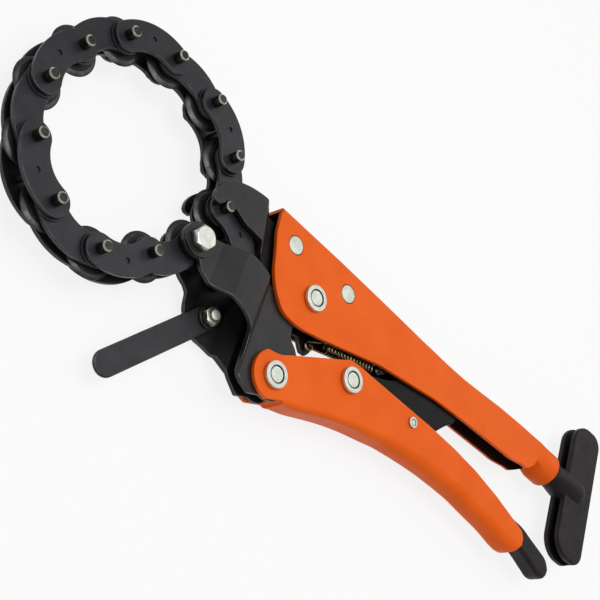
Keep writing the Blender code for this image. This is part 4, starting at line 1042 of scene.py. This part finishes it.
def make_hook_jaw(side, name):
    outline = eased(curved(spots(HOOK_SHARES), closed=True, corner=30.0), CORNER_ROUND)
    bends = lengths(HOOK_BEND_SHARES)
    flat = plate(outline, -JAW_SHEET, 0)
    sheet = joggled(flat, bends, (HOOK_FACE, TANG_FACE), HOOK_SLANT_SHARE, side)
    catch = CHAIN_JOINTS[11]
    notch = PIN_RADIUS + NOTCH_CLEARANCE
    mouth = catch.y - notch - OVERRUN
    slot = arc(catch, notch, 180, 0, 24)
    slot += [Vector((catch.x + notch, mouth)), Vector((catch.x - notch, mouth))]
    sheet = combined(sheet, [slab(slot, -HOOK_FACE - OVERRUN, HOOK_FACE + OVERRUN)])
    show(name + "_sheet", sheet, "frame", "oxide", name)


def make_moving_jaw(side, name, back, edge, bend_shares):
    cheek = arc(ANCHOR, ANCHOR_WASHER_RADIUS, *JAW_CHEEK_ARC, 24)
    neck = arc(MAIN_PIVOT, RIVET_RADIUS + JAW_SHEET, *JAW_NECK_ARC, 16)
    ear = arc(LEVER_PIVOT, LEVER_EAR_SHARE * HALF_HANDLE - 2 * GAP, *JAW_EAR_ARC, 14)
    outline = []
    for bow, table, following in (
        (cheek, MOVING_TOP_SHARES, neck), (neck, back, ear), (ear, edge, cheek),
    ):
        outline += bow[:-1] + curved([bow[-1]] + spots(table) + [following[0]])[:-1]
    bends = lengths(bend_shares)
    faces = (CHEEK_FACE, CREST_FACE, CREST_FACE, NECK_FACE)
    sheet = joggled(plate(eased(outline, CORNER_ROUND), -JAW_SHEET, 0), bends, faces, 0.0, side)
    show(name + "_sheet", sheet, "moving_jaw", "oxide", name)


def rivet(centre, radius, disc, groove, height, shank):
    """A pressed rivet: a rounded ring round a lower disc on the near head, a plain far head."""
    top = HEAD_SEAT + height
    inner = disc + groove
    ring = softened([
        (inner, top), (radius, top), (radius, HEAD_SEAT), (shank, HEAD_SEAT), (shank, -HEAD_SEAT),
        (radius, -HEAD_SEAT), (radius, groove - top), (RIVET_CORE_SHARE * radius, groove - top),
    ], groove)
    bottom = GROOVE_DEPTH * groove
    profile = [
        (RIVET_CORE_SHARE * disc, top - groove / 2), (disc - groove / 4, top - groove / 2),
        (disc, top - bottom / 2), (disc, top - bottom), (inner, top - bottom),
        (inner, top - groove / 4), (inner + groove / 4, top),
    ]
    # The groove's steps take the second material: painted shade in the recess.
    return turned(profile + ring[1:], centre, edge_and_shade_steps=(2, 3, 4))


def make_rivets():
    head = (RIVET_RADIUS, RIVET_DISC_RADIUS, RIVET_GROOVE, RIVET_HEIGHT, RIVET_SHANK_RADIUS)
    small = SMALL_RIVET_RADIUS
    small_head = (small, small / 2, GAP, 3 * GAP, small / 2)
    for name, pivot, body, sizes in (
        ("main_pivot_rivet", MAIN_PIVOT, "frame", head),
        ("lever_rivet", LEVER_PIVOT, "moving_jaw", head),
        ("toggle_rivet", TOGGLE_PIVOT, "lower_lever", head),
        ("release_rivet", RELEASE_PIVOT, "lower_lever", small_head),
    ):
        show(name + "_head", rivet(pivot, *sizes), body, "rivet", name)
    for name, centre in FLUSH_RIVETS.items():
        profile = [(2 * CORE_RADIUS, HEAD_SEAT)]
        for inset, drop in FLUSH_RIVET_RIM:
            profile.append((FLUSH_RIVET_RADIUS - inset, HEAD_SEAT - drop))
        profile += [(radius, -height) for radius, height in reversed(profile)]
        show(name + "_disc", turned(profile, centre), "frame", "nickel", name)
    post = pillar(SPRING_POST, SPRING_POST_RADIUS, 3 * WIRE_RADIUS, -NECK_FACE, GAP)
    show("spring_post_pin", post, "moving_jaw", "post", "spring_post")


def make_toggle_link():
    web = curved(spots(TOGGLE_WEB_SHARES), spacing=FOLD_SPACING)
    blank = folded(web, rim_of(web, TOGGLE_RIM_SHARES), LINKAGE_HALF_WIDTH, LINKAGE_SHEET)
    inside = LINKAGE_HALF_WIDTH - LINKAGE_SHEET
    hollow = slab(cavity_over(web, LINKAGE_SHEET, TOGGLE_CAVITY_SHARES), -inside, inside)
    reach = LINKAGE_HALF_WIDTH + GAP / 2
    mesh = combined(combined(blank, [hollow]), [rod(NOSE, NOSE_RADIUS, -reach, reach)], "UNION")
    show("toggle_channel", mesh, "toggle", "toggle", "toggle_link")


def make_release_lever():
    width = CHANNEL_HALF - GAP
    web = curved(spots(RELEASE_WEB_SHARES), spacing=RELEASE_SPACING)
    rim = rim_of(web, RELEASE_RIM_SHARES)
    blank = folded(web, rim, width, RELEASE_ROUND, rim_round=RELEASE_ROUND / 2)
    inside = width - LINKAGE_SHEET
    inner = offset_line(web, LINKAGE_SHEET)
    front, rear, low, high = lengths(RELEASE_CAVITY_SHARES)
    cavity = [Vector((front, low)), Vector((inner[0].x, low))]
    cavity += [point for point in inner if point.x < rear]
    cavity += [Vector((rear, high)), Vector((front, high))]
    mesh = combined(blank, [slab(cavity, -inside, inside)])
    show("release_grip", mesh, "release", "moulded", "release_lever")


def threaded_rod(length):
    """A rod along Z with a helical thread, both ends chamfered."""
    count = round(length / SCREW_PITCH * THREAD_STEPS)
    rows = []
    for step in range(count + 1):
        height = length * step / count
        row = []
        for side in range(THREAD_SIDES):
            turn = side / THREAD_SIDES
            phase = (height / SCREW_PITCH - turn) % 1
            groove = THREAD_DEPTH * (1 - abs(2 * phase - 1))
            ends = THREAD_CHAMFER * max(0.0, SCREW_PITCH - height, height - length + SCREW_PITCH)
            radius = SCREW_RADIUS - max(groove, ends)
            row.append((
                radius * math.cos(math.tau * turn), radius * math.sin(math.tau * turn), height,
            ))
        rows.append(row)
    return ringed("thread", rows)


def make_screw_and_knob():
    face = TUBE_END + GAP + KNOB_SHANK_LENGTH
    back = face + KNOB_DEPTH
    thread = threaded_rod(back - 2 * KNOB_WALL - SCREW_TIP)
    show("screw_thread", along_x(thread, SCREW_TIP), "screw", "zinc", "adjusting_screw")
    low, high = SCREW_AXIS_Y - KNOB_SPAN / 2, SCREW_AXIS_Y + KNOB_SPAN / 2
    radii = (KNOB_BACK_CORNER, KNOB_FRONT_CORNER, KNOB_FRONT_CORNER, KNOB_BACK_CORNER)
    outline = rounded_box(face, back, low, high, radii, 12)
    bar = plate(outline, -KNOB_HALF_WIDTH, KNOB_HALF_WIDTH, rounds=KNOB_ROUND, steps=5)
    inside = KNOB_HALF_WIDTH - KNOB_WALL
    grooves = []
    for start, end in (
        (low - OVERRUN, SCREW_AXIS_Y - KNOB_HUB_RADIUS),
        (SCREW_AXIS_Y + KNOB_HUB_RADIUS, high + OVERRUN),
    ):
        outline = [
            Vector((face - OVERRUN, start)), Vector((back - KNOB_WALL, start)),
            Vector((back - KNOB_WALL, end)), Vector((face - OVERRUN, end)),
        ]
        grooves.append(slab(outline, -inside, inside))
    depth = KNOB_SHANK_LENGTH + KNOB_DEPTH
    inner_hub = KNOB_HALF_WIDTH - KNOB_ROUND / 4
    hub = turned(softened([
        (2 * CORE_RADIUS, depth - KNOB_ROUND), (inner_hub, depth - KNOB_ROUND),
        (inner_hub, depth - 2 * KNOB_WALL), (KNOB_HUB_RADIUS, depth - KNOB_DEPTH / 2),
        (KNOB_HUB_RADIUS, KNOB_SHANK_LENGTH), (KNOB_SHANK_RADIUS, 0), (2 * CORE_RADIUS, 0),
    ], 2 * KNOB_ROUND))
    knob = combined(combined(bar, grooves), [along_x(hub, face - KNOB_SHANK_LENGTH)], "UNION")
    show("knob_bar", knob, "knob", "moulded", "screw_knob")


def hex_block(centre, across, low, high, face_up, bore=None):
    """A hexagon head, or a bored nut, whose outer face has the usual turned chamfer."""
    corner = across / math.sqrt(3)
    prism = plate(arc(centre, corner, 0, 300, 5), low, high, rounds=EDGE_ROUND / 3, steps=2)
    drop = (corner - across / 2) * HEX_CHAMFER_SHARE
    top, base = (high, low) if face_up else (low, high)
    edge = top - math.copysign(drop, top - base)
    shoulder = edge - math.copysign(CUTTER_SLACK * corner, top - base)
    wide, narrow = (1 + CUTTER_SLACK) * corner, HEX_FACE_SHARE * across / 2
    cone = turned([(wide, base), (wide, shoulder), (corner, edge), (narrow, top)], centre)
    block = combined(prism, [cone], "INTERSECT")
    if bore:
        block = combined(block, [rod(centre, bore, low - OVERRUN, high + OVERRUN)])
    return block


def washer(centre, outer, inner, low, high):
    corners = [(outer, high), (outer, low), (inner, low), (inner, high)]
    return turned(softened(corners, EDGE_ROUND, closed=True), centre, closed=True)


def make_anchor():
    washer_high = ANCHOR_SEAT + ANCHOR_WASHER_SHEET
    spacer_radius = BOSS_RADIUS - JAW_SHEET / 2
    low, high = BOSS_LOW, CHEEK_FACE - JAW_SHEET - GAP
    for name, mesh, look, node in (
        ("anchor_shaft", pillar(
            ANCHOR, PIN_RADIUS, ANCHOR_HEAD_LOW + GAP, GAP - ANCHOR_HEAD_HIGH, PIN_CHAMFER,
        ), "zinc", "anchor_bolt"),
        ("anchor_head", hex_block(
            ANCHOR, ANCHOR_HEX_ACROSS, ANCHOR_HEAD_LOW, ANCHOR_HEAD_HIGH, True,
        ), "zinc", "anchor_bolt"),
        ("anchor_hex_nut", hex_block(
            ANCHOR, ANCHOR_HEX_ACROSS, -ANCHOR_HEAD_HIGH, -ANCHOR_SEAT, False, HOLE_RADIUS,
        ), "zinc", "anchor_nut"),
        ("anchor_washer_ring", washer(
            ANCHOR, ANCHOR_WASHER_RADIUS, HOLE_RADIUS, ANCHOR_SEAT, washer_high,
        ), "ring", "anchor_washer"),
        ("anchor_spacer_near_ring", washer(
            ANCHOR, spacer_radius, HOLE_RADIUS, low, high,
        ), "ring", "anchor_spacer_near"),
        ("anchor_spacer_far_ring", washer(
            ANCHOR, spacer_radius, HOLE_RADIUS, -high, -low,
        ), "ring", "anchor_spacer_far"),
    ):
        show(name, mesh, "moving_jaw", look, node)


def make_guide():
    inner_face = -(CREST_FACE - JAW_SHEET)
    bar_low = inner_face + GUIDE_BAR_DROP
    bar_high = bar_low + GUIDE_BAR_SHEET
    start = GUIDE_BAR_HEADING
    outline = arc(GUIDE_BOLT, GUIDE_BAR_HALF_WIDTH, start + 90, start + 270, 28)
    tip = along(GUIDE_BOLT, start, GUIDE_BAR_LENGTH - GUIDE_BAR_HALF_WIDTH)
    outline += arc(tip, GUIDE_BAR_HALF_WIDTH, start - 90, start + 90, 28)
    bar = plate(outline, bar_low, bar_high, rounds=GUIDE_BAR_ROUND)
    show("guide_blade", bar, "guide", "blued", "guide_bar")
    inner = GUIDE_BOLT_RADIUS + GAP
    washer_low = bar_high + GAP
    washer_high = washer_low + GUIDE_WASHER_SHEET
    nut_low = washer_high + GAP
    nut_high = nut_low + GUIDE_HEX_HEIGHT
    head_high = -CREST_FACE - GAP
    head_low = min(head_high - GUIDE_HEX_HEIGHT, -ANCHOR_HEAD_HIGH)
    for name, mesh, look, node in (
        ("guide_spacer_ring", washer(
            GUIDE_BOLT, GUIDE_SPACER_RADIUS, inner, inner_face + GAP, bar_low - GAP,
        ), "ring", "guide_spacer"),
        ("guide_washer_ring", washer(
            GUIDE_BOLT, GUIDE_WASHER_RADIUS, inner, washer_low, washer_high,
        ), "post", "guide_washer"),
        ("guide_hex_nut", hex_block(
            GUIDE_BOLT, GUIDE_HEX_ACROSS, nut_low, nut_high, True, inner,
        ), "nut", "guide_nut"),
        ("guide_shaft", pillar(
            GUIDE_BOLT, GUIDE_BOLT_RADIUS, nut_high + GUIDE_BOLT_PROUD, head_high - GAP,
            PIN_CHAMFER,
        ), "nickel", "guide_bolt"),
        ("guide_head", hex_block(
            GUIDE_BOLT, GUIDE_HEX_ACROSS, head_low, head_high, False,
        ), "zinc", "guide_bolt"),
    ):
        show(name, mesh, "moving_jaw", look, node)


def end_loop(centre, forward, side):
    """The points of an open loop that starts at the side of its centre and turns forward."""
    points = []
    for step in range(LOOP_STEPS + 1):
        turn = math.radians(90 - LOOP_TURN * step / LOOP_STEPS)
        points.append(centre + (side * math.sin(turn) + forward * math.cos(turn)) * LOOP_RADIUS)
    return points


def make_spring():
    angle = math.radians(SPRING_HEADING)
    axis = Vector((math.cos(angle), math.sin(angle), 0))
    side = Vector((-math.sin(angle), math.cos(angle), 0))
    up = Vector((0, 0, 1))
    peg, post = SPRING_PEG.to_3d(), SPRING_POST.to_3d()
    coil_length = COIL_TURNS * COIL_PITCH
    coil_end = peg - axis * (LOOP_RADIUS + 2 * COIL_PITCH) - side * (LOOP_RADIUS - COIL_RADIUS)
    start = coil_end - side * COIL_RADIUS - axis * coil_length
    points = []
    steps = COIL_TURNS * COIL_POINTS_PER_TURN
    for step in range(steps + 1):
        turn = math.tau * step / COIL_POINTS_PER_TURN
        around = side * math.cos(turn) + up * math.sin(turn)
        points.append(start + axis * (coil_length * step / steps) + around * COIL_RADIUS)
    forward = (start - post).normalized()
    points = end_loop(post, -forward, up.cross(forward))[::-1] + points + end_loop(peg, axis, side)
    curve = bpy.data.curves.new("spring_wire", "CURVE")
    curve.dimensions = "3D"
    curve.bevel_depth = WIRE_RADIUS
    curve.bevel_resolution = 4
    curve.use_fill_caps = True
    spline = curve.splines.new("POLY")
    spline.points.add(len(points) - 1)
    for target, point in zip(spline.points, points):
        target.co = (*(point + DATUM), 1)
    declare(stand("spring_wire", curve), "frame", "spring", "return_spring")
    tab_low = COIL_RADIUS - 2 * WIRE_RADIUS
    tab = plate(eased(spots(TAB_SHARES), TAB_CORNER), tab_low, tab_low + LINKAGE_SHEET)
    peg_rod = rod(SPRING_PEG, SPRING_POST_RADIUS, -tab_low, tab_low + LINKAGE_SHEET / 2)
    show("spring_tab_plate", joined([tab, peg_rod]), "frame", "oxide", "spring_tab")


def plate_outline():
    """A curved chain plate from its first pin at zero along +X, bowed towards +Y."""
    radius = (CHAIN_PITCH ** 2 / 4 + PLATE_RISE ** 2) / (2 * PLATE_RISE)
    centre = Vector((CHAIN_PITCH / 2, PLATE_RISE - radius))
    half = math.degrees(math.asin(CHAIN_PITCH / 2 / radius))
    width = PLATE_HALF_WIDTH
    outline = arc(centre, radius + width, 90 + half, 90 - half, 20)
    outline += arc(Vector((CHAIN_PITCH, 0)), width, 90 - half, -90 - half, 20)[1:-1]
    outline += arc(centre, radius - width, 90 - half, 90 + half, 12)
    outline += arc(Vector((0, 0)), width, -90 + half, -270 + half, 20)[1:-1]
    return outline


def placed_link(mesh, index):
    """A copy of a link's mesh at its place in the chain."""
    joint = CHAIN_JOINTS[index]
    turn = Matrix.Rotation(math.radians(LINK_HEADINGS[index]), 4, "Z")
    placed = mesh.copy()
    placed.transform(Matrix.Translation((joint.x, joint.y, 0)) @ turn)
    return placed


def pin(place, half_length, chamfer):
    waist, shoulder = PIN_RADIUS - chamfer, half_length - chamfer
    upper = [(CORE_RADIUS, half_length), (waist, half_length), (PIN_RADIUS, shoulder)]
    profile = upper + [(radius, -height) for radius, height in reversed(upper)]
    return turned(profile, place, sides=32, edge_and_shade_steps=(1, 3))


def outer_link():
    """The two outer plates of a link with their bosses and the stay between them."""
    stay_place = Vector((CHAIN_PITCH / 2, PLATE_RISE))
    stay_hole = circle(stay_place, STAY_END_RADIUS + 2 * MERGE, 20)
    near = plate(plate_outline(), OUTER_PLATE_LOW, OUTER_PLATE_HIGH, [stay_hole])
    parts = [near, mirrored(near)]
    for end in LINK_ENDS:
        boss = pillar(
            end, BOSS_RADIUS, OUTER_PLATE_LOW, BOSS_LOW, BOSS_HEIGHT / 3, 5 * CORE_RADIUS,
        )
        parts += [boss, mirrored(boss)]
    top = OUTER_PLATE_HIGH - STAY_RECESS
    upper = [
        (CORE_RADIUS, top), (STAY_END_RADIUS, top), (STAY_END_RADIUS, OUTER_PLATE_LOW),
        (STAY_RADIUS, OUTER_PLATE_LOW),
    ]
    profile = upper + [(radius, -height) for radius, height in reversed(upper)]
    return joined(parts + [turned(profile, stay_place, sides=20)])


def make_chain():
    outer = outer_link()
    near, far = LINK_ENDS
    pins = joined([pin(end, PIN_HALF_LENGTH, PIN_CHAMFER) for end in LINK_ENDS])
    short_pin = pin(far, OUTER_PLATE_HIGH + TAIL_PIN_PROUD, TAIL_PIN_PROUD / 2)
    tail_pins = joined([pin(near, PIN_HALF_LENGTH, PIN_CHAMFER), short_pin])
    holes = [circle(end, HOLE_RADIUS, 32) for end in LINK_ENDS]
    inner = {"near": plate(plate_outline(), INNER_PLATE_LOW, INNER_PLATE_HIGH, holes)}
    inner["far"] = mirrored(inner["near"])
    upper = [
        (HOLE_RADIUS, WHEEL_HUB_HALF), (WHEEL_HUB_RADIUS, WHEEL_HUB_HALF),
        (WHEEL_HUB_RADIUS + WHEEL_STEP, WHEEL_WEB_HALF),
        (WHEEL_RADIUS - WHEEL_BEVEL, WHEEL_WEB_HALF),
        (WHEEL_RADIUS - WHEEL_STEP / 2, WHEEL_EDGE_HALF), (WHEEL_RADIUS, WHEEL_STEP / 4),
    ]
    profile = upper + [(radius, -height) for radius, height in reversed(upper)]
    last = len(LINK_HEADINGS) - 1
    for index in range(last + 1):
        number = "%02d" % index
        body = "link_" + number
        if index % 2 == 0:
            for label, mesh in inner.items():
                name = "_plate_%s_%s" % (label, number)
                show("link" + name, placed_link(mesh, index), body, "blued", "inner" + name)
        else:
            node = ("outer_link_" if index < last else "tail_link_") + number
            rods = pins if index < last else tail_pins
            show("link_plates_" + number, placed_link(outer, index), body, "blued", node)
            show("link_pins_" + number, placed_link(rods, index), body, "pin", node)
        wheel = turned(profile, CHAIN_JOINTS[index], closed=True, sides=64, edge_and_shade_steps=range(3, 8))
        name = "wheel_disc_" + number
        show(name, wheel, "wheel_" + number, "wheel", "cutter_wheel_" + number)


def seen_rays(tree):
    """One for the rays of the camera, of mirrors and of clear things, and zero for the rest."""
    path = tree.nodes.new("ShaderNodeLightPath").outputs
    mirrors = worked(tree, "MAXIMUM", path["Is Camera Ray"], path["Is Glossy Ray"])
    return worked(tree, "MAXIMUM", mirrors, path["Is Transmission Ray"])


def make_floor():
    mesh = bpy.data.meshes.new("floor")
    far, near = FLOOR_REACH, -FLOOR_REACH
    corners = [(near, near, 0), (far, near, 0), (far, far, 0), (near, far, 0)]
    mesh.from_pydata(corners, [], [(0, 1, 2, 3)])
    made = bpy.data.materials.new("floor_paper")
    made.use_nodes = True
    tree = made.node_tree
    shader = plug(tree, tree.nodes["Principled BSDF"], {
        "Base Color": FLOOR_COLOUR, "Roughness": 0.9, "Specular IOR Level": 0.1,
    })
    glow = tree.nodes.new("ShaderNodeEmission")
    plug(tree, glow, {"Color": (1, 1, 1, 1)})
    mix = plug(tree, tree.nodes.new("ShaderNodeMixShader"), {
        0: worked(tree, "MULTIPLY", seen_rays(tree), FLOOR_GLOW),
        1: shader.outputs["BSDF"], 2: glow.outputs["Emission"],
    })
    plug(tree, tree.nodes["Material Output"], {"Surface": mix.outputs["Shader"]})
    mesh.materials.append(made)
    stand("floor", mesh)


def make_light(name, place, size, power):
    lamp = bpy.data.lights.new(name, "AREA")
    lamp.shape = "DISK"
    lamp.size = size
    lamp.energy = power
    holder = stand(name, lamp)
    holder.location = place
    aim = Vector(LIGHT_TARGET) - Vector(place)
    holder.rotation_euler = aim.to_track_quat("-Z", "Y").to_euler()


def make_world():
    world = bpy.data.worlds.new("studio")
    world.use_nodes = True
    backdrop = world.node_tree.nodes["Background"]
    backdrop.inputs["Color"].default_value = (1, 1, 1, 1)
    backdrop.inputs["Strength"].default_value = WORLD_LIGHT
    bpy.context.scene.world = world


def make_camera():
    right, up = Vector(CAMERA_RIGHT), Vector(CAMERA_UP)
    lens = bpy.data.cameras.new("camera")
    lens.lens = CAMERA_LENS
    lens.sensor_fit = "HORIZONTAL"
    lens.sensor_width = SENSOR
    lens.clip_start = 0.01
    camera = stand("camera", lens)
    axes = Matrix((right, up, right.cross(up))).transposed().to_4x4()
    camera.matrix_world = Matrix.Translation(DATUM + Vector(CAMERA_PLACE)) @ axes
    bpy.context.scene.camera = camera


make_upper_handle()
make_lower_lever()
make_hook_jaw(1, "hook_jaw_near")
make_hook_jaw(-1, "hook_jaw_far")
make_moving_jaw(
    1, "moving_jaw_near", MOVING_NEAR_BACK_SHARES, MOVING_NEAR_EDGE_SHARES, MOVING_NEAR_BEND_SHARES,
)
make_moving_jaw(
    -1, "moving_jaw_far", MOVING_FAR_BACK_SHARES, MOVING_FAR_EDGE_SHARES, MOVING_FAR_BEND_SHARES,
)
make_rivets()
make_toggle_link()
make_release_lever()
make_screw_and_knob()
make_anchor()
make_guide()
make_spring()
make_chain()
make_floor()
for light in LIGHTS:
    make_light(*light)
make_world()
make_camera()

bpy.context.scene.view_settings.view_transform = "Standard"
